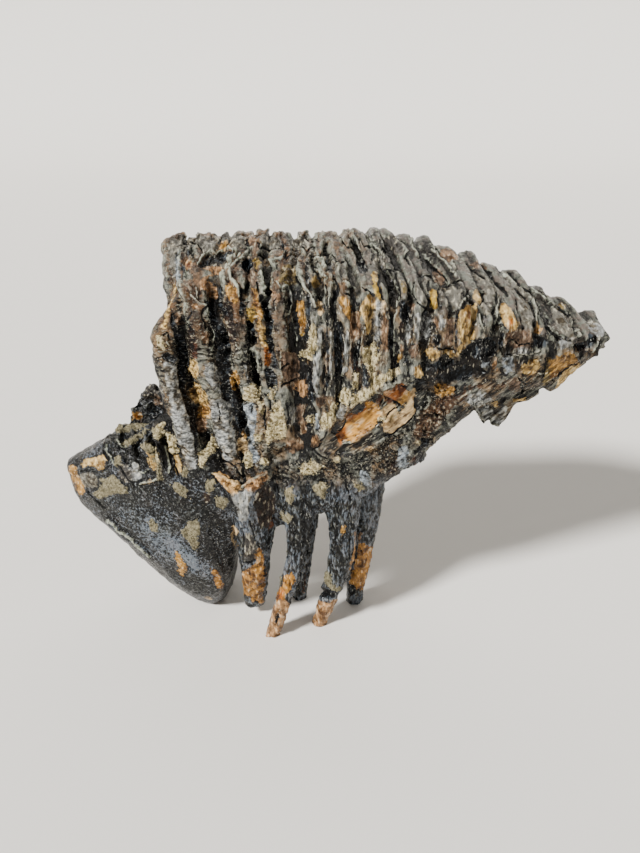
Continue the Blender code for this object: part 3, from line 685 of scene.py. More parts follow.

# Thin clefts, painted near-black as their shade: each a half width and a line of pixels.
CLEFT_SHADE_LINES = [
    (1.2, [(194, 238), (196, 244), (204, 249), (212, 250)]),
    (1.0, [(178, 244), (186, 240), (196, 241)]),
    (1.2, [(184, 246), (188, 247)]),
    (1.0, [(218, 242), (222, 236)]),
    (1.0, [(248, 238), (250, 244), (246, 248)]),
    (1.2, [(258, 240), (261, 247), (270, 247), (280, 246)]),
    (1.1, [(260, 253), (267, 254)]),
    (1.2, [(285, 240), (290, 245), (298, 247), (315, 247)]),
    (1.3, [(284, 247), (287, 253), (288, 256), (296, 253)]),
    (1.0, [(306, 234), (311, 240), (320, 241)]),
    (1.3, [(322, 252), (327, 259), (328, 270)]),
    (1.2, [(331, 253), (336, 259), (344, 262)]),
    (1.0, [(340, 238), (345, 244), (350, 246)]),
    (1.3, [(348, 234), (353, 242), (356, 250), (362, 258)]),
    (1.3, [(360, 236), (364, 244), (371, 247)]),
    (1.4, [(380, 238), (382, 246), (386, 253), (392, 262), (396, 270)]),
    (1.2, [(371, 247), (374, 254), (372, 262)]),
    (1.2, [(380, 268), (392, 269), (400, 270)]),
    (1.6, [(402, 240), (408, 250), (406, 256), (410, 264)]),
    (1.5, [(415, 249), (420, 258), (424, 268)]),
    (1.2, [(426, 256), (432, 264), (440, 272), (446, 278)]),
    (1.6, [(436, 248), (442, 256), (450, 264), (453, 272)]),
    (1.2, [(420, 274), (430, 276), (436, 282)]),
    (1.2, [(452, 281), (461, 280)]),
    (1.4, [(462, 258), (468, 264), (476, 272), (486, 280)]),
    (1.5, [(480, 262), (490, 272), (500, 284), (508, 294)]),
    (1.3, [(500, 272), (508, 280), (518, 290), (526, 298)]),
    (1.5, [(508, 272), (516, 279), (524, 288), (536, 298)]),
    (1.2, [(540, 294), (552, 300), (562, 308), (572, 316)]),
    (1.4, [(538, 303), (541, 312), (546, 326), (556, 338)]),
    (1.2, [(516, 299), (519, 312), (524, 328)]),
    (1.2, [(531, 302), (534, 314), (534, 330)]),
    (1.1, [(560, 308), (566, 318), (574, 330)]),
    (1.2, [(496, 292), (498, 302), (494, 312)]),
    (1.2, [(484, 290), (486, 298), (480, 304)]),
    (1.4, [(468, 290), (466, 298), (472, 303)]),
    (1.0, [(440, 284), (438, 296), (440, 306)]),
    (1.0, [(428, 280), (428, 296), (430, 304)]),
    (1.2, [(414, 282), (412, 292), (418, 302), (426, 308)]),
    (1.3, [(395, 272), (398, 284), (401, 296)]),
    (1.3, [(388, 270), (390, 282), (388, 294)]),
    (1.4, [(380, 276), (380, 290), (383, 300)]),
    (1.3, [(360, 286), (368, 290), (373, 294)]),
    (1.3, [(345, 292), (352, 296), (358, 306)]),
    (1.4, [(334, 276), (337, 286), (334, 300), (334, 320)]),
    (1.3, [(325, 284), (328, 294), (327, 306)]),
    (1.6, [(294, 276), (298, 284), (304, 294)]),
    (1.5, [(276, 296), (272, 302), (274, 312)]),
    (1.3, [(257, 280), (260, 290), (264, 300)]),
    (1.3, [(268, 280), (270, 292), (268, 304)]),
    (1.2, [(206, 304), (204, 316), (207, 330)]),
    (1.1, [(190, 310), (186, 322), (190, 330)]),
    (1.1, [(162, 336), (168, 332), (170, 340)]),
    (1.3, [(281, 369), (290, 364)]),
    (1.3, [(281, 388), (288, 384), (296, 380)]),
    (1.2, [(268, 394), (270, 410)]),
    (1.2, [(288, 404), (290, 418), (288, 430)]),
    (1.2, [(264, 404), (264, 418), (266, 430)]),
    (1.0, [(218, 404), (220, 416), (218, 424)]),
    (1.0, [(250, 406), (251, 414)]),
    (1.2, [(212, 440), (218, 452), (224, 462), (236, 468), (243, 482)]),
    (1.6, [(241, 452), (242, 466), (243, 484)]),
    (1.3, [(198, 466), (206, 474), (208, 482)]),
    (1.4, [(326, 432), (320, 444), (312, 450), (326, 458)]),
    (1.2, [(384, 436), (394, 430), (404, 424), (414, 414)]),
    (1.2, [(350, 404), (358, 400), (366, 394), (372, 396)]),
    (1.2, [(346, 420), (340, 428), (334, 434)]),
    (1.6, [(394, 404), (404, 408), (400, 412)]),
    (1.3, [(380, 428), (388, 420), (398, 412)]),
    (1.5, [(418, 400), (414, 414), (404, 424), (388, 436)]),
    (1.1, [(345, 480), (350, 500), (352, 530), (350, 560)]),
    (1.0, [(336, 500), (338, 520)]),
    (1.0, [(288, 520), (290, 540), (286, 560)]),
    (1.0, [(294, 530), (294, 556)]),
    (1.2, [(243, 534), (243, 562), (254, 562)]),
    (1.2, [(250, 522), (254, 536), (260, 548)]),
    (1.3, [(103, 444), (103, 452), (108, 460)]),
    (1.3, [(112, 438), (118, 450), (126, 464)]),
    (1.3, [(126, 450), (134, 458), (142, 466), (150, 474)]),
    (1.2, [(120, 468), (128, 480), (134, 486)]),
    (1.3, [(143, 456), (146, 466), (148, 476)]),
    (1.3, [(160, 444), (164, 456), (164, 470)]),
    (1.3, [(172, 454), (174, 466), (180, 476)]),
    (1.2, [(148, 434), (140, 442), (136, 450)]),
    (1.1, [(100, 472), (106, 470), (112, 464)]),
    (1.2, [(104, 508), (96, 500), (88, 492)]),
    (1.2, [(552, 380), (555, 382)]),
    (1.2, [(546, 358), (546, 370), (543, 378)]),
    (1.2, [(558, 376), (566, 370), (576, 364)]),
    (1.2, [(520, 378), (526, 386), (522, 392)]),
    (1.2, [(500, 340), (506, 352), (504, 362)]),
    (1.2, [(512, 340), (520, 346), (530, 344)]),
    (1.2, [(470, 372), (480, 370), (490, 374)]),
    (1.2, [(430, 346), (440, 350), (454, 352)]),
]

# Broad lighter and darker places: painted shade on sides turned away from the light and a painted sheen along
# the lobe, with some of the surface's own tone. u, v, half length, half width, turn in degrees from level,
# amount.
SHADE_AND_TONES = [
    (168, 545, 60, 16, 42, 0.5), (194, 564, 28, 9, 50, 0.3), (120, 505, 24, 12, 40, 0.1),
    (215, 540, 40, 14, 80, -0.5), (190, 575, 40, 10, 35, -0.2), (175, 500, 40, 16, 10, -0.08),
    (140, 460, 40, 18, 25, -0.12), (292, 540, 40, 9, 92, -0.25), (336, 540, 40, 10, 92, -0.2),
    (364, 510, 30, 10, 92, 0.15), (244, 540, 30, 6, 92, 0.1), (262, 510, 26, 9, 95, -0.3),
    (306, 540, 50, 7, 92, -0.5), (282, 322, 26, 11, 85, -0.1), (455, 370, 44, 13, -8, -0.7),
    (484, 350, 24, 15, -20, -0.7), (545, 340, 24, 9, -5, -0.5), (520, 340, 14, 9, 0, 0.15),
    (300, 455, 30, 12, 10, -0.1), (350, 465, 30, 14, -20, -0.1), (400, 455, 20, 16, -50, 0.05),
    (520, 385, 20, 8, -10, 0.1), (240, 325, 24, 8, 80, -0.05), (405, 270, 26, 14, 40, 0.05),
    (450, 262, 30, 12, 40, 0.1), (525, 290, 40, 10, 40, 0.08), (420, 325, 18, 8, 88, 0.15),
    (440, 345, 12, 8, 88, -0.2), (195, 460, 20, 5, 80, -0.4), (170, 350, 14, 8, 80, -0.15),
]


# What is stored on the mesh for the material.
STORED = (
    "light", "facet", "slats", "slate", "upright", "ringed", "fibrous", "dentine", "pit", "hollow", "enamel",
    "coarse", "polished", "gap", "stain", "black", "ridge", "cleft", "crust",
)

# Soft steps of the material: each runs from 0 to 1, or from its third number to its fourth, while a stored
# value or a noise goes from its first number to its second.
SOFT_STEPS = {
    "dark_tone": ("cloud", 0.4, 0.6),
    "pale_tone": ("cloud", 0.42, 0.58),
    "bare_light": ("lightness", 0.0, 1.0),
    "slat_light": ("lightness", 0.1, 1.2),
    "slat_tone": ("blotch", 0.42, 0.56),
    "cool_tone": ("cool_light", 0.12, 0.9),
    # Pale flecks fall where the fine noise, which also raises the bump, is highest: painted glints.
    "fleck": ("fine", 0.6, 0.68),
    "dentine": ("grain", 0.35, 0.6, 0.4, 0.9),
    "dentine_tone": ("blotch", 0.4, 0.62),
    # Crests, the raised points of the small relief, are painted paler as a highlight where the surface is
    # light.
    "crest": ("pit", -0.2, -1.0),
    "crest_light": ("light", 0.0, 0.5),
    "enamel": ("ragged", 0.5, 0.58),
    "stain": ("stain", -0.6, 0.6),
    "stain_tone": ("blotch", 0.36, 0.56),
    "stain_highlight": ("grain", 0.54, 0.7, 0.0, 0.6),
    "stain_grain": ("grain", 0.34, 0.6, 0.25, 1.25),
    "stain_fine": ("fine", 0.35, 0.65, 0.6, 1.4),
    "uneven": ("coarse", 0.2, 0.9, 0.35, 1.0),
    # Shade is painted dark into small pits and, in the next step, into broad hollows.
    "sunk": ("pit", 0.05, 0.8, 0.0, 0.85),
    "hollow": ("hollow", 0.15, 0.9, 0.0, 0.75),
    "black": ("black", -1.2, 1.2),
    "black_tone": ("grain", 0.5, 0.66),
    "glint": ("fine", 0.6, 0.7, 0.0, 0.6),
    "ridge": ("ridge", 0.1, 0.6),
    "ridge_tone": ("grain", 0.36, 0.56),
    "cleft": ("cleft", 0.0, 0.4),
    "crust": ("crust", -0.6, 0.6),
    "sand_tone": ("grain", 0.35, 0.62),
    "sand_pit": ("fine", 0.47, 0.38, 0.0, 0.8),
    "rubbed": ("grain", 0.5, 0.62, 0.0, 1.4),
    "roughness": ("blotch", 0.38, 0.62, 0.26, 0.12),
}

# Colours that go from one tone to another, each with the soft step of its name.
TWO_TONES = {
    "dark": ("#060708", "#100b07"),
    "pale": ("#7e7f74", "#7f6a50"),
    "slat": ("#6f7268", "#635a52"),
    "cool": ("#040506", "#5f6a77"),
    "dentine": ("#2b1c12", "#6f5036"),
    "black": ("#020203", "#3c4248"),
    "ridge": ("#565a4e", "#a8ab9a"),
    "sand": ("#635838", "#d2c49c"),
}
# Sand is darker and greener where it lies on the bluish black lobe and roots, and by how much.
SLATE_SAND = "#5f5c4c"
SLATE_SAND_SHARE = 0.7

# Grains of sand: their radius in mm, and how many there are to a square millimetre.
GRAIN_RADIUS = 0.42
GRAINS_PER_MM2 = 1.6


# ---------------------------------------------------------------- shapes


def at(points, x):
    """The value at x of a list of (x, value), straight between its points. x may be an array."""
    return np.interp(x, [p[0] for p in points], [p[1] for p in points])


def signed_power(value, power):
    """A power that keeps the sign. On a cosine and a sine, a low one makes an oval more like a box."""
    return math.copysign(abs(value) ** power, value)


def append(mesh_into, made):
    """Adds one bmesh to another and frees it."""
    held = bpy.data.meshes.new("held")
    made.to_mesh(held)
    made.free()
    mesh_into.from_mesh(held)
    bpy.data.meshes.remove(held)


def loft(mesh_into, rings, segments, place):
    """A UV sphere whose rings are set along a body and whose segments run round it. place gives each point
    from how far along it is, from 0 to 1, and its angle. A pole is the middle of an end.
    """
    made = bmesh.new()
    bmesh.ops.create_uvsphere(made, u_segments=segments, v_segments=rings, radius=1)
    for vert in made.verts:
        t = math.acos(max(-1.0, min(1.0, -vert.co.z))) / math.pi
        angle = math.atan2(vert.co.y, vert.co.x)
        is_pole = math.hypot(vert.co.x, vert.co.y) < 1e-5
        vert.co = Vector(place(t, angle, is_pole))
    bmesh.ops.recalc_face_normals(made, faces=made.faces)
    append(mesh_into, made)


def body_along_x(into, stations, power, set_back=0.0):
    """A body lofted along X with rounded-box sections. set_back moves its lowest parts to the far side."""
    columns = list(zip(*stations))

    def place(t, angle, is_pole):
        x = columns[0][0] + t * (columns[0][-1] - columns[0][0])
        low, high, near, far = (float(np.interp(x, columns[0], c)) for c in columns[1:])
        reach = 0 if is_pole else 1
        y = (near + far) / 2 + reach * (far - near) / 2 * signed_power(math.cos(angle), power)
        z = (low + high) / 2 + reach * (high - low) / 2 * signed_power(math.sin(angle), power)
        y += set_back * max(0.0, 1 - max(z, 0) / SET_BACK_BELOW)
        return x, y, z

    loft(into, 72, 72, place)


def crown_cement(into):
    """The cement that fills the crown between its plates, a little inside their edges."""
    first, last = CROWN_ENDS_X

    def place(t, angle, is_pole):
        x = first + t * (last - CEMENT_OVERLAP - first)
        recess = at(CEMENT_RECESS, x)
        near, far = at(NEAR_Y, x) + recess, at(FAR_Y, x) - recess
        base = at(CROWN_BASE_Z, x) - CEMENT_OVERLAP
        across = 0 if is_pole else signed_power(math.cos(angle), 0.25)
        up = 0 if is_pole else signed_power(math.sin(angle), 0.25)
        y = (near + far) / 2 + across * (far - near) / 2
        near_top, far_top = at(NEAR_RIM_Z, x) - at(CEMENT_DROP, x), at(FAR_RIM_Z, x) - at(CEMENT_DROP, x)
        top = near_top + (far_top - near_top) * (1 + across) / 2
        return x, y, base + (1 + up) / 2 * (top - base)

    loft(into, 96, 80, place)


def plate_line(plate, y, up):
    """x of the middle of a plate at a depth y and a height up, 0 at its foot and 1 at its rim."""
    rim_x, middle_x, foot_x = plate[:3]
    x = np.interp(up, (0, 0.55, 1), (foot_x, middle_x, rim_x))
    x = x - (at(SLANT, rim_x) + at(FAN, rim_x) * up**2) * (y - at(NEAR_Y, rim_x))
    return x + 1.2 * np.sin(0.11 * y + 0.4 * rim_x) + 0.8 * np.sin(0.09 * (100 + 90 * up) + rim_x)


def crown_plate(into, plate, recess=0.0):
    """One plate: a slab with rounded edges across the crown, bending from its foot to its rim."""
    rim_x, _, foot_x, thickness, worn = plate
    far_x = rim_x - (at(SLANT, rim_x) + at(FAN, rim_x)) * (at(FAR_Y, rim_x) - at(NEAR_Y, rim_x))
    near, far = at(NEAR_Y, rim_x) + recess, at(FAR_Y, far_x) - recess
    near_top = at(NEAR_RIM_Z, rim_x) - worn
    far_top = at(FAR_RIM_Z, far_x) - (LOW_BY if rim_x in LOW_PLATES else 0)
    rounding = thickness / 2 * at(ROUND_EDGE, rim_x)
    base = at(CROWN_BASE_Z, foot_x)
    slope = (far_top - near_top) / (far - near)
    middle_y, middle_top = (near + far) / 2, (near_top + far_top) / 2

    def place(t, angle, is_pole):
        across = -math.cos(math.pi * t)
        round_in = rounding * (1 - math.sqrt(max(0.0, 1 - across * across)))
        half_y = 0 if is_pole else (far - near) / 2 - round_in
        half_z = 0 if is_pole else (middle_top - base) / 2 - round_in
        y = middle_y + half_y * signed_power(math.cos(angle), 0.3)
        up = 0.5 + half_z * signed_power(math.sin(angle), 0.3) / (middle_top - base)
        z = base + up * (middle_top + slope * (y - middle_y) - base)
        return float(plate_line(plate, y, up)) + across * thickness / 2, y, z

    loft(into, 12, 96, place)


def root(into, points):
    """A tapering root: a bevelled curve through its centre points, made a mesh."""
    data = bpy.data.curves.new("root", "CURVE")
    data.dimensions = "3D"
    data.bevel_depth = 1
    data.bevel_resolution = 6
    data.use_fill_caps = True
    data.resolution_u = 12
    spline = data.splines.new("NURBS")
    spline.points.add(len(points) - 1)
    spline.order_u = 3
    spline.use_endpoint_u = True
    for point, (x, y, z, radius) in zip(spline.points, points):
        point.co = (x, y, z, 1)
        point.radius = radius
    append_object(into, bpy.data.objects.new("root", data))


def flat_piece(into, outline, middle_y, thickness):
    """A slab with this outline in XZ, from a filled and extruded 2D curve stood upright."""
    data = bpy.data.curves.new("slab", "CURVE")
    data.dimensions = "2D"
    data.fill_mode = "BOTH"
    data.extrude = thickness / 2
    spline = data.splines.new("POLY")
    spline.points.add(len(outline) - 1)
    spline.use_cyclic_u = True
    for point, (x, z) in zip(spline.points, outline):
        point.co = (x, z, 0, 1)
    slab = bpy.data.objects.new("slab", data)
    slab.matrix_world = Matrix.Translation((0, middle_y, 0)) @ Matrix.Rotation(math.pi / 2, 4, "X")
    append_object(into, slab)


def append_object(into, obj):
    """Adds a curve object's evaluated mesh, where it stands, and removes the curve."""
    bpy.context.scene.collection.objects.link(obj)
    bpy.context.view_layer.update()
    graph = bpy.context.evaluated_depsgraph_get()
    mesh = bpy.data.meshes.new_from_object(obj.evaluated_get(graph))
    mesh.transform(obj.matrix_world)
    made = bmesh.new()
    made.from_mesh(mesh)
    bmesh.ops.remove_doubles(made, verts=made.verts, dist=1e-4)
    bmesh.ops.recalc_face_normals(made, faces=made.faces)
    bpy.data.objects.remove(obj)
    bpy.data.meshes.remove(mesh)
    append(into, made)


def chip(into):
    """A block of broken tooth with flat faces, the hull of its corners."""
    made = bmesh.new()
    for corner in CHIP_CORNERS:
        made.verts.new(corner)
    bmesh.ops.convex_hull(made, input=made.verts)
    bmesh.ops.delete(made, geom=[v for v in made.verts if not v.link_faces], context="VERTS")
    append(into, made)


def slope_fin(into, x, crest, near, far):
    """The stump of a worn plate, leaning back on the front slope."""
    middle_y, half_y = (near + far) / 2, (far - near) / 2

    def place(t, angle, is_pole):
        across = 2 * t - 1
        size = 0 if is_pole else (1 - abs(across) ** 3) ** 0.33
        y = middle_y + half_y * size * signed_power(math.cos(angle), 0.6)
        z = crest - FIN_HALF_HEIGHT + FIN_HALF_HEIGHT * size * signed_power(math.sin(angle), 0.6)
        return x + across * FIN_HALF_THICKNESS + FIN_LEAN * (crest - z), y, z

    loft(into, 8, 32, place)


def broken_root(into):
    """The stump of a root that broke off the near side, an oval lump that rises towards the back end."""
    turn = Matrix.Translation(BROKEN_ROOT_AT) @ Matrix.Rotation(-BROKEN_ROOT_RISE, 4, "Y")
    made = bmesh.new()
    shape = turn @ Matrix.Diagonal((*BROKEN_ROOT_HALF, 1))
    bmesh.ops.create_uvsphere(made, u_segments=48, v_segments=24, radius=1, matrix=shape)
    append(into, made)


def rough_shape():
    """Every lump of the tooth in one mesh, still overlapping."""
    into = bmesh.new()
    crown_cement(into)
    for plate in PLATES:
        rim_x, middle_x, foot_x, thickness, worn = plate
        crown_plate(into, (rim_x, middle_x, foot_x, thickness + float(at(SLAT_FILL, rim_x)), worn))
    for *strip, recess in STRIPS:
        crown_plate(into, (*strip, 4), recess)
    body_along_x(into, ROOT_BASE, 0.6)
    body_along_x(into, FRONT_ROOT, 0.75, FRONT_ROOT_SET_BACK)
    for points in ROOTS.values():
        root(into, points)
    flat_piece(into, FLAKE_OUTLINE, FLAKE_Y, FLAKE_THICKNESS)
    chip(into)
    for fin in SLOPE_FINS:
        slope_fin(into, *fin)
    broken_root(into)
    mesh = bpy.data.meshes.new("rough_shape")
    into.to_mesh(mesh)
    into.free()
    return mesh


def through_modifiers(mesh, *modifiers):
    """The mesh after these modifiers, each (type, {setting: value})."""
    obj = bpy.data.objects.new("shaping", mesh)
    bpy.context.scene.collection.objects.link(obj)
    for kind, settings in modifiers:
        modifier = obj.modifiers.new(kind.lower(), kind)
        for name, value in settings.items():
            setattr(modifier, name, value)
    bpy.context.view_layer.update()
    result = bpy.data.meshes.new_from_object(obj.evaluated_get(bpy.context.evaluated_depsgraph_get()))
    bpy.data.objects.remove(obj)
    bpy.data.meshes.remove(mesh)
    return result


# ---------------------------------------------------------------- surface relief

# In the calls of wave and chips, the numbers after the points are a size in mm, a seed of the pattern's own,
# and how far it is drawn out along X, Y and Z. Heights and depths are in mm.


def read(mesh, what):
    """The points of a mesh ("co") or its normals ("normal"), as an array."""
    values = np.empty(len(mesh.vertices) * 3, np.float32)
    if what == "normal":
        mesh.vertex_normals.foreach_get("vector", values)
    else:
        mesh.vertices.foreach_get(what, values)
    return values.reshape(-1, 3).astype(np.float64)


def write(mesh, points):
    """Moves the points of a mesh."""
    mesh.vertices.foreach_set("co", points.astype(np.float32).ravel())
    mesh.update()


def wave(points, size, seed, stretch=(1, 1, 1)):
    """Smooth noise from about -1 to 1, with lumps size mm across, drawn out by stretch along each axis."""
    rng = np.random.default_rng(seed)
    table = rng.permutation(256)
    slopes = rng.normal(size=(256, 3))
    slopes /= np.linalg.norm(slopes, axis=1, keepdims=True)
    place = points / (size * np.array(stretch)) + rng.uniform(0, 99, 3)
    cell = np.floor(place).astype(np.int64)
    inside = place - cell
    fade = inside**3 * (inside * (inside * 6 - 15) + 10)
    total = np.zeros(len(points))
    for corner in np.ndindex(2, 2, 2):
        where = cell + corner
        found = table[(table[(table[where[:, 0] & 255] + where[:, 1]) & 255] + where[:, 2]) & 255]
        reach = ((inside - corner) * slopes[found]).sum(axis=1)
        total += reach * np.where(corner, fade, 1 - fade).prod(axis=1)
    return total * 1.7


def chips(points, size, seed, stretch=(1, 1, 1)):
    """Facets about size mm across, as on chipped stone: how high each point is on its tilted facet in parts
    of the size, how far it lies from the facet's edge, and a number from 0 to 1 that is the facet's own.
    """
    rng = np.random.default_rng(seed)
    table = rng.permutation(256)
    middles = rng.uniform(0, 1, (256, 3))
    tilts = rng.normal(size=(256, 3))
    place = points / (size * np.array(stretch)) + rng.uniform(0, 99, 3)
    cell = np.floor(place).astype(np.int64)
    first, second = np.full(len(points), 9.0), np.full(len(points), 9.0)
    tilt, own = np.zeros(len(points)), np.zeros(len(points))
    for move in np.ndindex(3, 3, 3):
        where = cell + np.array(move) - 1
        found = table[(table[(table[where[:, 0] & 255] + where[:, 1]) & 255] + where[:, 2]) & 255]
        away = place - where - middles[found]
        gap = (away**2).sum(axis=1)
        closer = gap < first
        second = np.where(closer, first, np.minimum(second, gap))
        first = np.where(closer, gap, first)
        tilt = np.where(closer, (away * tilts[found]).sum(axis=1), tilt)
        own = np.where(closer, found / 255, own)
    return tilt, np.sqrt(second) - np.sqrt(first), own


def step(low, high, values):
    """0 below low, 1 above high and smooth between. low may be above high."""
    t = np.clip((values - low) / (high - low), 0, 1)
    return t * t * (3 - 2 * t)


def bell(values, middle, width):
    """1 at the middle, falling smoothly to nearly 0 at twice the width."""
    return np.exp(-(((values - middle) / width) ** 2))


def top_height(x, y):
    """The grinding face's height."""
    near, far = at(NEAR_Y, x), at(FAR_Y, x)
    share = np.clip((y - near) / (far - near), 0, 1)
    return at(NEAR_RIM_Z, x) + share * (at(FAR_RIM_Z, x) - at(NEAR_RIM_Z, x))


def nearest_plate(x, y, up):
    """How far each point is from the middle of its nearest plate, 1 at the plate's side, the plate's half
    thickness, and a number from 0 to 1 that is the plate's own.
    """
    halves = np.array([plate[3] / 2 for plate in PLATES])
    best = np.full(len(x), 9.0)
    half = np.full(len(x), 4.0)
    own = np.zeros(len(x))
    for number, (plate, half_width) in enumerate(zip(PLATES, halves)):
        offset = (x - plate_line(plate, y, up)) / half_width
        closer = np.abs(offset) < np.abs(best)
        best[closer] = offset[closer]
        half[closer] = half_width
        own[closer] = number * 0.618 % 1
    return best, half, own


def along_dish(points):
    """Where points are along the broken root's face, in mm, and across it."""
    offset = points - BROKEN_ROOT_AT
    along = offset[:, 0] * math.cos(BROKEN_ROOT_RISE) + offset[:, 2] * math.sin(BROKEN_ROOT_RISE)
    return along, offset[:, 2] * math.cos(BROKEN_ROOT_RISE) - offset[:, 0] * math.sin(BROKEN_ROOT_RISE)


def dish_reach(points):
    """0 at the middle of the broken root's face and 1 at its rim. Points far behind it get more than 2."""
    along, across = along_dish(points)
    return np.hypot(along / BROKEN_ROOT_HALF[0], across / BROKEN_ROOT_HALF[2]) + 2 * (points[:, 1] > -20)


def dish(points):
    """How far the broken root's face lies under the surface round it: a fibrous dish with a rim."""
    reach = dish_reach(points)
    along, across = along_dish(points)
    wall = 1.8 * bell(along, 4, 2.2) * step(1, 0.7, reach)
    fibres = 0.5 * wave(np.stack([along / 5, across, points[:, 1]], axis=1), 1.5, 51) * step(1.1, 0.9, reach)
    return BROKEN_ROOT_DIP * np.maximum(0, 1 - reach**2) - 1.8 * bell(reach, 1.1, 0.16) - wall + fibres


def hollows(points):
    """How deep the broken-out hollows are at each point."""
    sink = np.zeros(len(points))
    for centre, radius, depth in HOLLOWS:
        near = 1 - np.linalg.norm(points - centre, axis=1) / (radius * 1.4)
        sink = np.maximum(sink, depth * np.maximum(0, near) ** 0.7)
    return sink


def zones(points):
    """Shares from 0 to 1 of each point in the parts of the tooth that differ in relief and colour."""
    x, y, z = points.T
    base, top = at(CROWN_BASE_Z, x), top_height(x, y)
    crown = step(-8, 2, z - base) * step(-90, -84, x + 3 * step(120, 140, z))
    face = crown * step(8, 3, top - z)
    front = step(25, -15, x)
    rim = crown * np.maximum(face, step(-5, -30, x) * step(34, 12, top - z))
    lobe = (1 - crown) * step(-46, -56, x)
    roots = (1 - crown) * (1 - lobe) * step(98, 84, z)
    return {
        "up": np.clip((z - base) / (top - base), 0, 1),
        "crown": crown,
        "face": face,
        "columns": crown - face,
        "rim": rim,
        "front": front,
        "slats": rim * (1 - front),
        "lobe": lobe,
        "roots": roots,
        "base": np.clip(1 - crown - lobe - roots, 0, 1),
        "fibrous": np.maximum(step(45, 60, x) * (1 - crown), step(1.15, 1, dish_reach(points))),
    }


def layers(points, offset, half):
    """Thin layers along each plate, as a height from about -1 to 1."""
    along = np.stack([offset * half + points[:, 0] / 4, points[:, 1] / 12, points[:, 2] / 12], axis=1)
    return wave(along, 1.7, 20)


def crown_relief(points, zone, offset, half, layer):
    """Height in mm over the crown, and its facets' own numbers.

    Worn plates show enamel edges and hollowed dentine, with sunk cement between. Towards the back end they
    are tilted slats, and below the rim they are knobbly columns.
    """
    side = (1 - np.abs(offset)) * half
    broken = step(-0.2, 0.25, wave(points, 7, 17))
    plates = 0.9 * broken * bell(side, 0.9, 0.8) - 0.9 * step(1.6, 2.6, side) - 1.1 * step(0, -1.2, side)
    slats = 0.9 * np.clip(offset, -1.1, 1.1) - 0.7 * step(0.4, -0.3, side) + 0.6 * layer
    height = zone["rim"] * (zone["front"] * plates + (1 - zone["front"]) * slats)
    tilt, edge, own = chips(points, 3.4, 18, (0.9, 4.5, 2))
    lumps = (0.15 + 1.05 * zone["front"]) * wave(points, 9, 11)
    chipped = (0.12 + 0.6 * zone["front"]) * tilt - (0.1 + 0.4 * zone["front"]) * step(0.12, 0, edge)
    height += zone["face"] * (lumps + chipped)
    columns = zone["columns"]
    rough_tilt, rough_edge, rough_own = chips(points, 2.2, 19, (1, 1, 3.2))
    smooth = np.maximum(bell(points[:, 0], 4, 26), 0.8 * step(-40, -50, points[:, 0]))
    knobs = 0.9 * wave(points, 8, 13, (1, 1, 1.6)) + 0.35 * wave(points, 2.6, 14, (1, 1, 4))
    rings = 0.4 * wave(points, 2.2, 29, (3, 3, 1)) * step(-24, -34, points[:, 0])
    height += columns * (knobs * (1 - 0.5 * smooth) + rings)
    height += columns * (1 - smooth) * (0.5 * rough_tilt - 0.4 * step(0.16, 0, rough_edge))
    rough = 0.3 * wave(points, 4, 15) + 0.2 * wave(points, 1.9, 16)
    height += zone["crown"] * (rough * (1 - 0.7 * zone["face"] * (1 - zone["front"])) - 0.3)
    return height, np.where(zone["face"] > 0.5, own, rough_own)


def root_relief(points, zone):
    """Height in mm below the crown: smooth lobe and roots, and the spongy broken base between them."""
    lumps = 0.8 * wave(points, 11, 21) + 0.3 * wave(points, 3.5, 22) + 0.18 * wave(points, 1.8, 23)
    height = zone["lobe"] * lumps
    scale_tilt, scale_edge, _ = chips(points, 2.6, 30, (1, 1, 2.2))
    scaly = 0.4 * scale_tilt - 0.4 * step(0.14, 0, scale_edge)
    height += zone["roots"] * (0.9 * wave(points, 7, 24, (1, 1, 3)) + 0.3 * wave(points, 2.4, 25) + scaly)
    along, across = along_dish(points)
    fibres = wave(np.stack([along / 5, across, points[:, 1]], axis=1), 2.2, 28)
    height += zone["base"] * zone["fibrous"] * (0.9 * fibres - 0.8 * step(0.3, 0.7, fibres))
    tilt, edge, own = chips(points, 4.2, 26)
    spongy = wave(points, 2.6, 27)
    rough = zone["base"] * (1 - 0.7 * zone["fibrous"]) * step(0.9, 1.3, dish_reach(points))
    height += rough * (0.9 * tilt - 0.6 * step(0.14, 0, edge) + 0.4 * spongy - 1.2 * step(0.4, 0.8, spongy))
    slope = zone["lobe"] * step(92, 104, points[:, 2])
    return height + slope * (1.1 * tilt + 0.5 * spongy - 0.8 * step(0.2, 0, edge)), own


# ---------------------------------------------------------------- marks on the surface


def in_picture(points):
    """Where points show in the camera's picture: u, v, and the distance ahead of the camera in mm."""
    offset = points - CAMERA_AT
    ahead = offset @ AHEAD
    u = FRAME_PX[0] / 2 + FOCAL_PX * offset[:, 0] / ahead
    v = FRAME_PX[1] / 2 - FOCAL_PX * (offset @ OVER) / ahead
    return np.stack([u, v, ahead], axis=1)


def in_view(picture):
    """Which points show in the picture, or lie only a little way behind what shows."""
    columns, rows = (picture[:, :2] / SEEN_CELL).astype(int).T
    nearest = np.full((rows.max() + 1, columns.max() + 1), np.inf)
    np.minimum.at(nearest, (rows, columns), picture[:, 2])
    return picture[:, 2] < nearest[rows, columns] + SEEN_DEPTH


def close_to(places, outline, margin):
    """The numbers of the places within a margin of the outline's box."""
    low, high = np.min(outline, axis=0) - margin, np.max(outline, axis=0) + margin
    return np.flatnonzero(((places > low) & (places < high)).all(axis=1))


def off_line(places, start, end):
    """How far each place is from the straight line between two points."""
    way = np.subtract(end, start)
    away = places - start
    share = np.clip(away @ way / (way @ way), 0, 1)
    return np.linalg.norm(away - share[:, None] * way, axis=1)


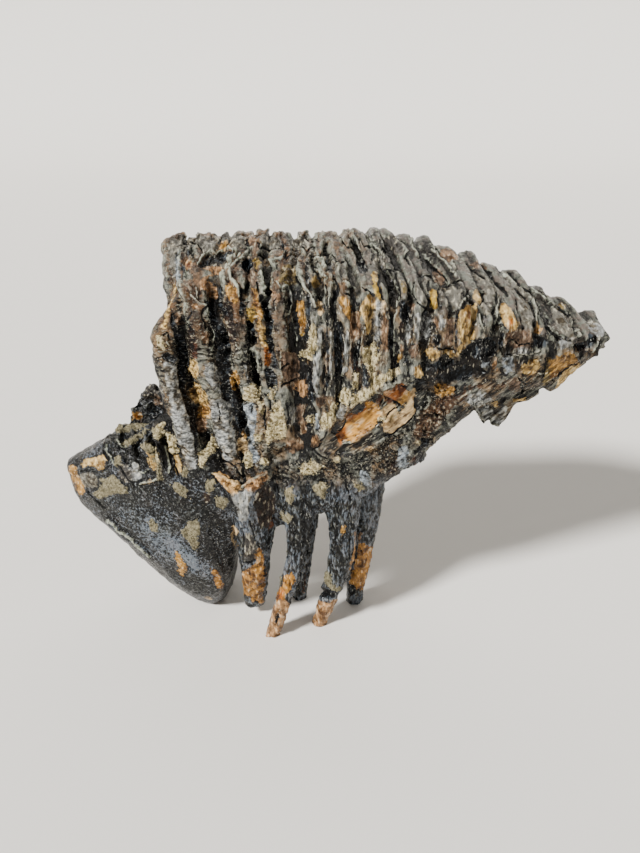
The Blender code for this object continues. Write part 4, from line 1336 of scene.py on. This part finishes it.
def depth_inside(places, outline):
    """How far inside a closed outline each place is, below 0 outside it."""
    nearest = np.full(len(places), np.inf)
    inside = np.zeros(len(places), bool)
    for start, end in zip(outline, outline[1:] + outline[:1]):
        nearest = np.minimum(nearest, off_line(places, start, end))
        if start[1] != end[1]:
            crossed_at = start[0] + (places[:, 1] - start[1]) * (end[0] - start[0]) / (end[1] - start[1])
            inside ^= ((places[:, 1] < start[1]) != (places[:, 1] < end[1])) & (places[:, 0] < crossed_at)
    return np.where(inside, nearest, -nearest)


def inside_outlines(places, outlines):
    """How many pixels inside an outline each place is, and which outline. A later outline lies on top."""
    inside = np.full(len(places), FAR_OUTSIDE)
    which = np.zeros(len(places), int)
    for number, outline in enumerate(outlines):
        close = close_to(places, outline, -FAR_OUTSIDE)
        depth = depth_inside(places[close], outline)
        which[close[(depth > 0) | (depth > inside[close])]] = number
        inside[close] = np.maximum(inside[close], depth)
    return inside, which


def on_lines(places, lines):
    """How near a line each place is: 1 on its middle, 0 at its half width, and -1 further off."""
    inside = np.full(len(places), -1.0)
    for half_width, line in lines:
        close = close_to(places, line, 2 * half_width)
        for start, end in zip(line, line[1:]):
            value = 1 - off_line(places[close], start, end) / half_width
            inside[close] = np.maximum(inside[close], value)
    return inside


def broad_shade_and_tones(places):
    """How much lighter or darker the broad places make each point: painted shade and sheen, and some tone."""
    total = np.zeros(len(places))
    for u, v, length, width, turn, amount in SHADE_AND_TONES:
        du, dv = (places - (u, v)).T
        cos, sin = math.cos(math.radians(turn)), math.sin(math.radians(turn))
        reach = ((du * cos + dv * sin) / length) ** 2 + ((dv * cos - du * sin) / width) ** 2
        total += amount * np.maximum(0, 1 - reach)
    return total


def marks_on(points, normals):
    """The marks at each point: how far inside stains, crust and black places it is in pixels, how near a
    line, and how much lighter or darker by painted shade, sheen and tone. On the far side, stains, crust and
    black places are seeded noise.
    """
    picture = in_picture(points)
    seen = in_view(picture)
    # The outlines are drawn a pixel or two out of true, so that no edge is straight.
    shift = [0.8 * wave(points, 2.4, seed) + 1.2 * wave(points, 6, seed + 1) for seed in (61, 63)]
    places = (picture[:, :2] + np.stack(shift, axis=1))[seen]
    far_side = normals @ AHEAD > FAR_SIDE
    rows = [outline for outlines in STAINS.values() for outline in outlines]
    colours = np.array([linear(colour) for colour, outlines in STAINS.items() for _ in outlines])
    marks = {
        name: np.where(far_side, 14 * wave(points, size, seed) - less, FAR_OUTSIDE)
        for name, size, seed, less in (("crust", 13, 43, 6.5), ("black", 11, 44, 7), ("stain", 12, 45, 5))
    }
    for name in ("ridge", "cleft"):
        marks[name] = np.where(far_side, -1.0, FAR_OUTSIDE)
    marks["tone"] = np.zeros(len(points))
    which = (chips(points, 15, 46)[2] * (len(rows) - 1)).astype(int)
    marks["stain"][seen], which[seen] = inside_outlines(places, rows)
    marks["crust"][seen] = inside_outlines(places, CRUST)[0]
    marks["black"][seen] = inside_outlines(places, BLACK_AND_SHADE)[0]
    marks["ridge"][seen] = on_lines(places, RIDGES)
    marks["cleft"][seen] = on_lines(places, CLEFT_SHADE_LINES)
    # The broad places paint shade and sheen, with some of the surface's own tone.
    marks["tone"][seen] = broad_shade_and_tones(places)
    return marks, colours[which]


def smoothed(mesh, iterations):
    """The points of the mesh after smoothing, in the same order."""
    return read(through_modifiers(mesh.copy(), ("SMOOTH", {"factor": 0.5, "iterations": iterations})), "co")


def hollowness(mesh, iterations, full):
    """How hollow the surface is at each point, 1 where it lies full mm under its smoothed self."""
    depth = ((smoothed(mesh, iterations) - read(mesh, "co")) * read(mesh, "normal")).sum(axis=1)
    return np.clip(depth / full, -1, 1)


def sculpted(mesh):
    """Carves the relief, and stores as attributes what the material needs."""
    points, normals = read(mesh, "co"), read(mesh, "normal")
    zone = zones(points)
    offset, half, plate_own = nearest_plate(points[:, 0], points[:, 1], zone["up"])
    layer = layers(points, offset, half)
    crown_height, crown_facet = crown_relief(points, zone, offset, half, layer)
    crown_facet = crown_facet + (plate_own - crown_facet) * zone["slats"]
    root_height, root_facet = root_relief(points, zone)
    sunk = dish(points) + hollows(points)
    # The plates and columns are bent a little, each its own way.
    bend = (1 + 1.2 * zone["front"] * zone["face"]) * wave(points, 13, 31)
    bend += (0.25 + 0.45 * zone["front"]) * wave(points, 5.5, 32)
    points[:, 0] += zone["crown"] * bend
    marks, stain_colours = marks_on(points, normals)
    # Ridges stand out with a groove beside them, clefts and black places are sunk, and crust lies on top.
    height = crown_height + root_height - sunk
    height += 1.4 * step(0, 0.8, marks["ridge"]) - 0.7 * bell(marks["ridge"], -0.6, 0.3)
    height -= 1.3 * step(0, 0.8, marks["cleft"])
    height -= 1.4 * step(-0.5, 3, marks["black"]) * (1 - step(-0.2, 0.4, marks["ridge"]))
    height += step(-1, 1, marks["crust"]) * (0.8 + 0.5 * wave(points, 2.8, 42) + 0.35 * wave(points, 1.5, 47))
    write(mesh, points + normals * height[:, None])

    # What the material needs. side is how many mm inside its plate's side each point lies.
    side = (1 - np.abs(offset)) * half
    columns, slats = zone["columns"], zone["slats"]
    light = (0.42 + 0.1 * (1 - zone["front"])) * zone["face"] + 0.46 * columns
    # The broad places' painted shade and sheen are added to the lightness here.
    light += 0.14 * zone["lobe"] + 0.35 * zone["roots"] + 0.26 * zone["base"] + marks["tone"]
    light += 0.45 * slats * layer
    # Each column is painted lighter down its middle and darker at its sides: a painted highlight and shade,
    # with some paler wear on its crest.
    light += columns * (0.12 - 0.45 * np.minimum(np.abs(offset), 1.2) ** 2)
    # gap marks the recesses between the plates and the grooves of the slats, which the material paints
    # near-black as their shade, over the dark cement.
    gap = zone["crown"] * (1 - 0.5 * zone["face"]) * step(-0.2, -2, side)
    coarse = columns + zone["base"] + (0.4 + 0.3 * zone["front"]) * zone["face"] + 0.7 * zone["roots"]
    coarse += 0.6 * zone["lobe"]
    for name, values in {
        "light": light,
        "facet": zone["crown"] * crown_facet + (1 - zone["crown"]) * root_facet,
        "slats": slats,
        "slate": zone["lobe"] + zone["roots"],
        "upright": zone["crown"] + zone["roots"],
        "ringed": columns * step(-18, -30, points[:, 0]),
        "fibrous": zone["fibrous"],
        "dentine": zone["rim"] * zone["front"] * step(1.2, 2.2, side),
        # How sunk or raised the surface is at a small scale, and how hollow at a broad one: the material paints
        # shade into the pits and hollows and a highlight on the crests.
        "pit": hollowness(mesh, 5, 0.5),
        "hollow": hollowness(mesh, 55, 2.2),
        "enamel": zone["rim"] * bell(side, 0.9, 0.9),
        "coarse": coarse * (1 - 0.6 * step(1.15, 1, dish_reach(points))),
        "polished": 0.6 * columns * bell(points[:, 0], 4, 30),
        "gap": np.maximum(gap, slats * step(0.3, -0.4, side)),
        "stain": marks["stain"],
        "black": marks["black"],
        "ridge": marks["ridge"] - 0.35 * np.maximum(columns, slats),
        "cleft": marks["cleft"],
        "crust": marks["crust"],
    }.items():
        attribute = mesh.attributes.new(name, "FLOAT", "POINT")
        attribute.data.foreach_set("value", values.astype(np.float32))
    stain_colour = mesh.attributes.new("stain_colour", "FLOAT_COLOR", "POINT")
    stain_colour.data.foreach_set("color", stain_colours.astype(np.float32).ravel())


def cut_flat(mesh):
    """Cuts the mesh off at the ground and closes the tips."""
    made = bmesh.new()
    made.from_mesh(mesh)
    everything = [*made.verts, *made.edges, *made.faces]
    ground = {"plane_co": (0, 0, 0), "plane_no": (0, 0, -1)}
    cut = bmesh.ops.bisect_plane(made, geom=everything, clear_outer=True, **ground)
    edges = [part for part in cut["geom_cut"] if isinstance(part, bmesh.types.BMEdge)]
    bmesh.ops.holes_fill(made, edges=edges)
    made.to_mesh(mesh)
    made.free()


def build_tooth():
    """The whole tooth: the lumps fused, sculpted, cut flat, moved to the frame and thinned."""
    mesh = through_modifiers(
        rough_shape(),
        ("REMESH", {"mode": "VOXEL", "voxel_size": VOXEL}),
        ("SMOOTH", {"factor": 0.5, "iterations": 2}),
    )
    sculpted(mesh)
    cut_flat(mesh)
    mesh.transform(Matrix.Scale(MM, 4) @ Matrix.Translation([-c for c in ORIGIN]))
    triangles = sum(len(face.vertices) - 2 for face in mesh.polygons)
    mesh = through_modifiers(mesh, ("DECIMATE", {"ratio": TRIANGLES / triangles}))
    mesh.name = "fossil_tooth"
    mesh.shade_smooth()
    tooth = bpy.data.objects.new("fossil_tooth", mesh)
    bpy.context.scene.collection.objects.link(tooth)
    return tooth


# ---------------------------------------------------------------- materials


def linear(colour):
    """The linear RGBA of an sRGB hex colour."""
    parts = [int(colour[i : i + 2], 16) / 255 for i in (1, 3, 5)]
    return (*(c / 12.92 if c <= 0.04045 else ((c + 0.055) / 1.055) ** 2.4 for c in parts), 1.0)


def add(tree, kind, *values, named=None, **settings):
    """Adds a node with its settings and gives its first output. The values set or link its inputs, in order
    or by name. None leaves an input as it is, and a hex colour is turned to linear.
    """
    node = tree.nodes.new(kind)
    for name, value in settings.items():
        setattr(node, name, value)
    sockets = [socket for socket in node.inputs if socket.enabled]
    wanted = list(zip(sockets, values))
    wanted += [(node.inputs[name], value) for name, value in (named or {}).items()]
    for socket, value in wanted:
        if isinstance(value, bpy.types.NodeSocket):
            tree.links.new(value, socket)
        elif value is not None:
            socket.default_value = linear(value) if str(value).startswith("#") else value
    return next((socket for socket in node.outputs if socket.enabled), None)


def new_material(name):
    """A material with a Principled shader: the material, its node tree and the shader's inputs."""
    material = bpy.data.materials.new(name)
    material.use_nodes = True
    return material, material.node_tree, material.node_tree.nodes["Principled BSDF"].inputs


def fossil_patterns(put):
    """What is stored on the mesh, by name, with noises from 0 to 1 of real sizes, and with both together."""
    given = {name: put("ShaderNodeAttribute", attribute_name=name).node.outputs["Fac"] for name in STORED}
    place = put("ShaderNodeTexCoord").node.outputs["Object"]
    # Fine grain runs down the crown and roots, in rings round the first columns, and along the broken root's
    # fibres. Real enamel and dentine are finer still, but then nothing of it would show.
    down_columns = put("ShaderNodeMapping", place, named={"Scale": (1, 0.38, 0.38)})
    in_rings = put("ShaderNodeMapping", place, named={"Scale": (0.6, 0.8, 1.1)})
    fibres = {"Rotation": (0, -BROKEN_ROOT_RISE, 0), "Scale": (4, 1, 1)}
    along_fibres = put("ShaderNodeMapping", place, named=fibres, vector_type="TEXTURE")
    for name, size_mm, detail in (("fine", 0.8, 2), ("grain", 1.5, 4)):
        given[name] = put("ShaderNodeTexNoise", place, 1 / (size_mm * MM), detail)
        for part, run in (("upright", down_columns), ("ringed", in_rings), ("fibrous", along_fibres)):
            drawn_out = put("ShaderNodeTexNoise", run, 1 / (size_mm * MM), detail)
            given[name] = put("ShaderNodeMix", given[part], given[name], drawn_out, data_type="FLOAT")
    for name, size_mm, detail, roughness in (
        ("blotch", 4.5, 4, 0.55),
        ("cloud", 13, 3, 0.55),
        ("ragged", 2.2, 5, 0.7),
    ):
        given[name] = put("ShaderNodeTexNoise", place, 1 / (size_mm * MM), detail, roughness)
    # A stored value with so much of a noise added, the noise taken about nought. It varies the lightness, and
    # it breaks up the edges of the patches, whose stored value is how far inside them a point lies.
    grain_swing = put("ShaderNodeMix", given["slats"], 2.6, 1.3, data_type="FLOAT")
    for name, start, noise, amount in (
        ("lightness", "light", "blotch", 1.2),
        ("lightness", "lightness", "facet", 0.6),
        ("lightness", "lightness", "grain", grain_swing),
        ("cool_light", "light", "grain", 1.8),
        ("cool_light", "cool_light", "fine", 2.0),
        ("cool_light", "cool_light", "cloud", 1.4),
        ("stain", "stain", "ragged", 10),
        ("crust", "crust", "ragged", 10),
        ("black", "black", "ragged", 8),
        ("ridge", "ridge", "ragged", 1.6),
        ("cleft", "cleft", "ragged", 1.0),
    ):
        swing = put("ShaderNodeMath", given[noise], 0.5, operation="SUBTRACT")
        given[name] = put("ShaderNodeMath", swing, amount, given[start], operation="MULTIPLY_ADD")
    return given


def fossil_material():
    """Fossil tooth: enamel, dentine and cement that minerals in the ground have turned black and grey.

    Enamel is hard and takes a gleam where it is worn, dentine and cement are duller and fibrous, iron has
    stained them orange and brown, and dry sand is cemented on in crusts. Shade is painted dark into gaps, pits,
    hollows, clefts and black places, and highlights are painted pale on crests, flecks, stains and columns.
    """
    material, tree, surface = new_material("stained_fossil_ivory")
    put = partial(add, tree)
    given = fossil_patterns(put)
    soft = {
        name: put("ShaderNodeMapRange", given[pattern], *limits, interpolation_type="SMOOTHSTEP")
        for name, (pattern, *limits) in SOFT_STEPS.items()
    }
    tone = {
        name: put("ShaderNodeMix", soft[name + "_tone"], first, second, data_type="RGBA")
        for name, (first, second) in TWO_TONES.items()
    }

    # Stains are mottled inside, with dark pits and cream fibres, the cream a painted highlight on the high
    # grain that also raises the bump, and are smoother on the lobe and roots.
    stained = put("ShaderNodeAttribute", attribute_name="stain_colour").node.outputs["Color"]
    deeper = put("ShaderNodeMix", 1.0, stained, "#8f8270", data_type="RGBA", blend_type="MULTIPLY")
    cream_highlight = put("ShaderNodeMix", 0.5, stained, "#f0e6c8", data_type="RGBA")
    mottled = put("ShaderNodeMix", soft["stain_tone"], deeper, stained, data_type="RGBA")
    mottled = put("ShaderNodeMix", soft["stain_highlight"], mottled, cream_highlight, data_type="RGBA")
    pitted = put("ShaderNodeMath", soft["stain_grain"], soft["stain_fine"], operation="MULTIPLY")
    uneven = put("ShaderNodeMath", given["slate"], -0.3, soft["uneven"], operation="MULTIPLY_ADD")
    shade = put("ShaderNodeMix", uneven, 1.0, pitted, data_type="FLOAT")
    mottled = put("ShaderNodeVectorMath", mottled, shade, operation="SCALE")

    # How much of each layer shows.
    smooth = put("ShaderNodeMath", given["slats"], given["slate"], operation="MAXIMUM")
    share = {
        "slate": (given["slate"], 0.85),
        "glint_flecks": (soft["fleck"], put("ShaderNodeMix", smooth, 0.6, 0.15, data_type="FLOAT")),
        "dentine": (given["dentine"], soft["dentine"]),
        "crest": (soft["crest"], soft["crest_light"]),
        "enamel": (given["enamel"], soft["enamel"]),
        "gap": (given["gap"], put("ShaderNodeMath", 1.0, soft["stain"], operation="SUBTRACT")),
        "ridge": (soft["ridge"], put("ShaderNodeMath", soft["stain"], -0.6, 0.9, operation="MULTIPLY_ADD")),
        "slate_sand": (given["slate"], SLATE_SAND_SHARE),
        "rubbed": (given["slate"], soft["rubbed"]),
    }
    share = {name: put("ShaderNodeMath", *pair, operation="MULTIPLY") for name, pair in share.items()}

    slat = put("ShaderNodeMix", soft["slat_light"], "#0e0c0b", tone["slat"], data_type="RGBA")
    # The black places get painted glints: a paler grey on the high grain, and pale specks where the fine noise
    # is high.
    black_with_glints = put("ShaderNodeMix", soft["glint"], tone["black"], "#b4b4ac", data_type="RGBA")
    sand = put("ShaderNodeMix", share["slate_sand"], tone["sand"], SLATE_SAND, data_type="RGBA")
    sand = put("ShaderNodeMix", soft["sand_pit"], sand, "#2a2214", data_type="RGBA")
    colour = put("ShaderNodeMix", soft["bare_light"], tone["dark"], tone["pale"], data_type="RGBA")
    for amount, layer in (
        (given["slats"], slat),  # the worn slats at the back end, mauve-brown and grey-green
        (share["slate"], tone["cool"]),  # the bluish black lobe and roots
        (share["glint_flecks"], "#bdb7a2"),  # pale flecks where the fine bump is highest: painted glints, with some pale grain
        (share["dentine"], tone["dentine"]),  # brown dentine between the enamel edges of the grinding face
        (share["crest"], "#a5a392"),  # painted highlight on the crests, pale grey-green, with some wear
        (share["enamel"], "#8b8e80"),  # enamel edges
        (soft["stain"], mottled),
        (share["gap"], "#040303"),  # painted shade in the recesses between the columns and in the slats' grooves, over dark cement
        (soft["sunk"], "#050403"),  # painted shade in small pits
        (soft["hollow"], "#040303"),  # painted shade in hollows
        # the black places: their own black, and near-black painted shadow
        (soft["black"], black_with_glints),
        (share["ridge"], tone["ridge"]),
        # clefts: near-black painted shade
        (soft["cleft"], "#030303"),
        (soft["crust"], sand),
    ):
        colour = put("ShaderNodeMix", amount, colour, layer, data_type="RGBA")

    matt = put("ShaderNodeMath", soft["stain"], soft["crust"], operation="MAXIMUM")
    bare = put("ShaderNodeMath", 1.0, matt, operation="SUBTRACT")
    shine = put("ShaderNodeMath", given["polished"], share["rubbed"], operation="MAXIMUM")
    shine = put("ShaderNodeMath", shine, bare, operation="MULTIPLY")
    roughness = soft["roughness"]
    for amount, value in (
        (soft["stain"], 0.22),
        (soft["black"], 0.1),
        (share["ridge"], 0.2),
        (soft["crust"], 0.95),
    ):
        roughness = put("ShaderNodeMix", amount, roughness, value, data_type="FLOAT")
    relief = put("ShaderNodeMath", given["fine"], 0.5, given["grain"], operation="MULTIPLY_ADD")
    relief = put("ShaderNodeMath", given["ragged"], 0.5, relief, operation="MULTIPLY_ADD")
    relief = put("ShaderNodeMath", relief, given["coarse"], operation="MULTIPLY")
    bump = put("ShaderNodeBump", named={"Strength": 1.0, "Distance": 1.6 * MM, "Height": relief})
    dull_to_shiny = put("ShaderNodeMix", shine, 0.2, 0.45, data_type="FLOAT")
    for name, value in (
        ("Base Color", colour),
        ("Specular IOR Level", dull_to_shiny),
        ("Roughness", roughness),
        ("Normal", bump),
    ):
        tree.links.new(value, surface[name])
    return material


def sand_material():
    """Loose sand cemented onto the tooth: dry pale grains, each in its own shade from buff to brown."""
    material, tree, surface = new_material("sandy_crust")
    put = partial(add, tree)
    place = put("ShaderNodeTexCoord").node.outputs["Object"]
    ramp = put("ShaderNodeValToRGB", put("ShaderNodeTexNoise", place, 1 / (1.1 * MM), 1.0))
    shades = ramp.node.color_ramp.elements
    shades[0].position, shades[0].color = 0.36, linear("#40351f")
    shades[1].position, shades[1].color = 0.62, linear("#d2c8a4")
    shades.new(0.48).color = linear("#a8976a")
    slate = put("ShaderNodeAttribute", attribute_name="slate").node.outputs["Fac"]
    share = put("ShaderNodeMath", slate, SLATE_SAND_SHARE, operation="MULTIPLY")
    colour = put("ShaderNodeMix", share, ramp, SLATE_SAND, data_type="RGBA")
    tree.links.new(colour, surface["Base Color"])
    surface["Roughness"].default_value = 0.95
    surface["Specular IOR Level"].default_value = 0.2
    return material


def grain_tree():
    """The Geometry Nodes that scatter sand on the patches of crust, and the identifiers of their inputs."""
    tree = bpy.data.node_groups.new("crust_grains", "GeometryNodeTree")
    sockets = {
        name: tree.interface.new_socket(name, in_out=direction, socket_type=kind).identifier
        for name, kind, direction in (
            ("Tooth", "NodeSocketGeometry", "INPUT"),
            ("Grain radius", "NodeSocketFloat", "INPUT"),
            ("Grains per square metre", "NodeSocketFloat", "INPUT"),
            ("Grains", "NodeSocketGeometry", "OUTPUT"),
        )
    }
    put = partial(add, tree)
    given = put("NodeGroupInput").node.outputs
    # Grains lie thickest inside a patch and in clumps, and none lies on the ground.
    crust = put("GeometryNodeInputNamedAttribute", "crust", data_type="FLOAT")
    clump = put("ShaderNodeTexNoise", named={"Scale": 1 / (3 * MM), "Detail": 2.0})
    height = put("ShaderNodeSeparateXYZ", put("GeometryNodeInputPosition")).node.outputs["Z"]
    density = put("ShaderNodeMapRange", crust, -0.8, 1.5)
    for factor in (
        put("ShaderNodeMapRange", clump, 0.38, 0.58),
        put("ShaderNodeMath", height, 1 * MM, operation="GREATER_THAN"),
        given["Grains per square metre"],
    ):
        density = put("ShaderNodeMath", density, factor, operation="MULTIPLY")
    scatter = {"Mesh": given["Tooth"], "Density": density, "Seed": 7}
    spread = put("GeometryNodeDistributePointsOnFaces", named=scatter)
    # Each grain is a flattened ball of its own size and turn.
    ball = put("GeometryNodeMeshIcoSphere", 1.0, 1)
    stone = put("GeometryNodeTransform", ball, named={"Scale": (1.0, 0.8, 0.65)})
    size = put("FunctionNodeRandomValue", 0.5, 1.4, None, 8, data_type="FLOAT")
    radius = put("ShaderNodeMath", size, given["Grain radius"], operation="MULTIPLY")
    turn = put("FunctionNodeRandomValue", (0, 0, 0), (6.3, 6.3, 6.3), None, 9, data_type="FLOAT_VECTOR")
    stones = {"Points": spread, "Instance": stone, "Rotation": turn, "Scale": radius}
    placed = put("GeometryNodeInstanceOnPoints", named=stones)
    real = put("GeometryNodeRealizeInstances", placed)
    put("NodeGroupOutput", put("GeometryNodeSetMaterial", real, None, sand_material()))
    return tree, sockets


def crust_grains(tooth):
    """Grains of sand on the patches of crust of the tooth."""
    tree, sockets = grain_tree()
    obj = bpy.data.objects.new("crust_grains", tooth.data.copy())
    bpy.context.scene.collection.objects.link(obj)
    modifier = obj.modifiers.new("crust_grains", "NODES")
    modifier.node_group = tree
    modifier[sockets["Grain radius"]] = GRAIN_RADIUS * MM
    modifier[sockets["Grains per square metre"]] = GRAINS_PER_MM2 / MM**2
    bpy.context.view_layer.update()
    mesh = bpy.data.meshes.new_from_object(obj.evaluated_get(bpy.context.evaluated_depsgraph_get()))
    bpy.data.objects.remove(obj)
    mesh.name = "sandy_crust"
    grains = bpy.data.objects.new("sandy_crust", mesh)
    bpy.context.scene.collection.objects.link(grains)
    return grains


def floor_and_lights():
    """A pale paper floor that curves up into a backdrop, soft light from the upper left, and a weak fill."""
    profile = [(-FLOOR_REACH, 0), (FLOOR_REACH / 2, 0)]
    for turn in range(10, 100, 10):
        over, up = math.sin(math.radians(turn)), 1 - math.cos(math.radians(turn))
        profile.append((FLOOR_REACH / 2 + SWEEP_RADIUS * over, SWEEP_RADIUS * up))
    profile.append((FLOOR_REACH / 2 + SWEEP_RADIUS, 2 * FLOOR_REACH))
    points = [(side * FLOOR_REACH, y, z) for y, z in profile for side in (-1, 1)]
    faces = [(2 * i, 2 * i + 1, 2 * i + 3, 2 * i + 2) for i in range(len(profile) - 1)]
    mesh = bpy.data.meshes.new("studio_floor")
    mesh.from_pydata(points, [], faces)
    mesh.shade_smooth()
    floor = bpy.data.objects.new("studio_floor", mesh)
    bpy.context.scene.collection.objects.link(floor)
    material, _, surface = new_material("pale_paper")
    surface["Base Color"].default_value = linear("#e6e3de")
    surface["Roughness"].default_value = 0.9
    mesh.materials.append(material)

    for name, (towards, power, spread) in LIGHTS.items():
        light = bpy.data.lights.new(name, "SUN")
        light.energy = power
        light.color = linear("#fffdf9")[:3]
        light.angle = math.radians(spread)
        lamp = bpy.data.objects.new(name, light)
        lamp.rotation_euler = Vector(towards).to_track_quat("-Z", "Y").to_euler()
        bpy.context.scene.collection.objects.link(lamp)

    world = bpy.data.worlds.new("studio")
    world.use_nodes = True
    background = world.node_tree.nodes["Background"]
    background.inputs["Color"].default_value = linear("#e4e2df")
    background.inputs["Strength"].default_value = ROOM_LIGHT
    bpy.context.scene.world = world


def camera():
    """The camera that the outlines were laid out for."""
    data = bpy.data.cameras.new("camera")
    data.sensor_width = SENSOR
    data.sensor_fit = "AUTO"
    data.lens = SENSOR * FOCAL_PX / FRAME_PX[1]
    data.clip_start = 0.01
    obj = bpy.data.objects.new("camera", data)
    obj.location = (CAMERA_AT - ORIGIN) * MM
    obj.rotation_euler = (math.pi / 2 - LOOK_DOWN, 0, 0)
    bpy.context.scene.collection.objects.link(obj)
    bpy.context.scene.camera = obj


tooth = build_tooth()
tooth.data.materials.append(fossil_material())
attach(tooth, "root")
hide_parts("tooth")
grains = crust_grains(tooth)
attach(grains, "root")
floor_and_lights()
camera()
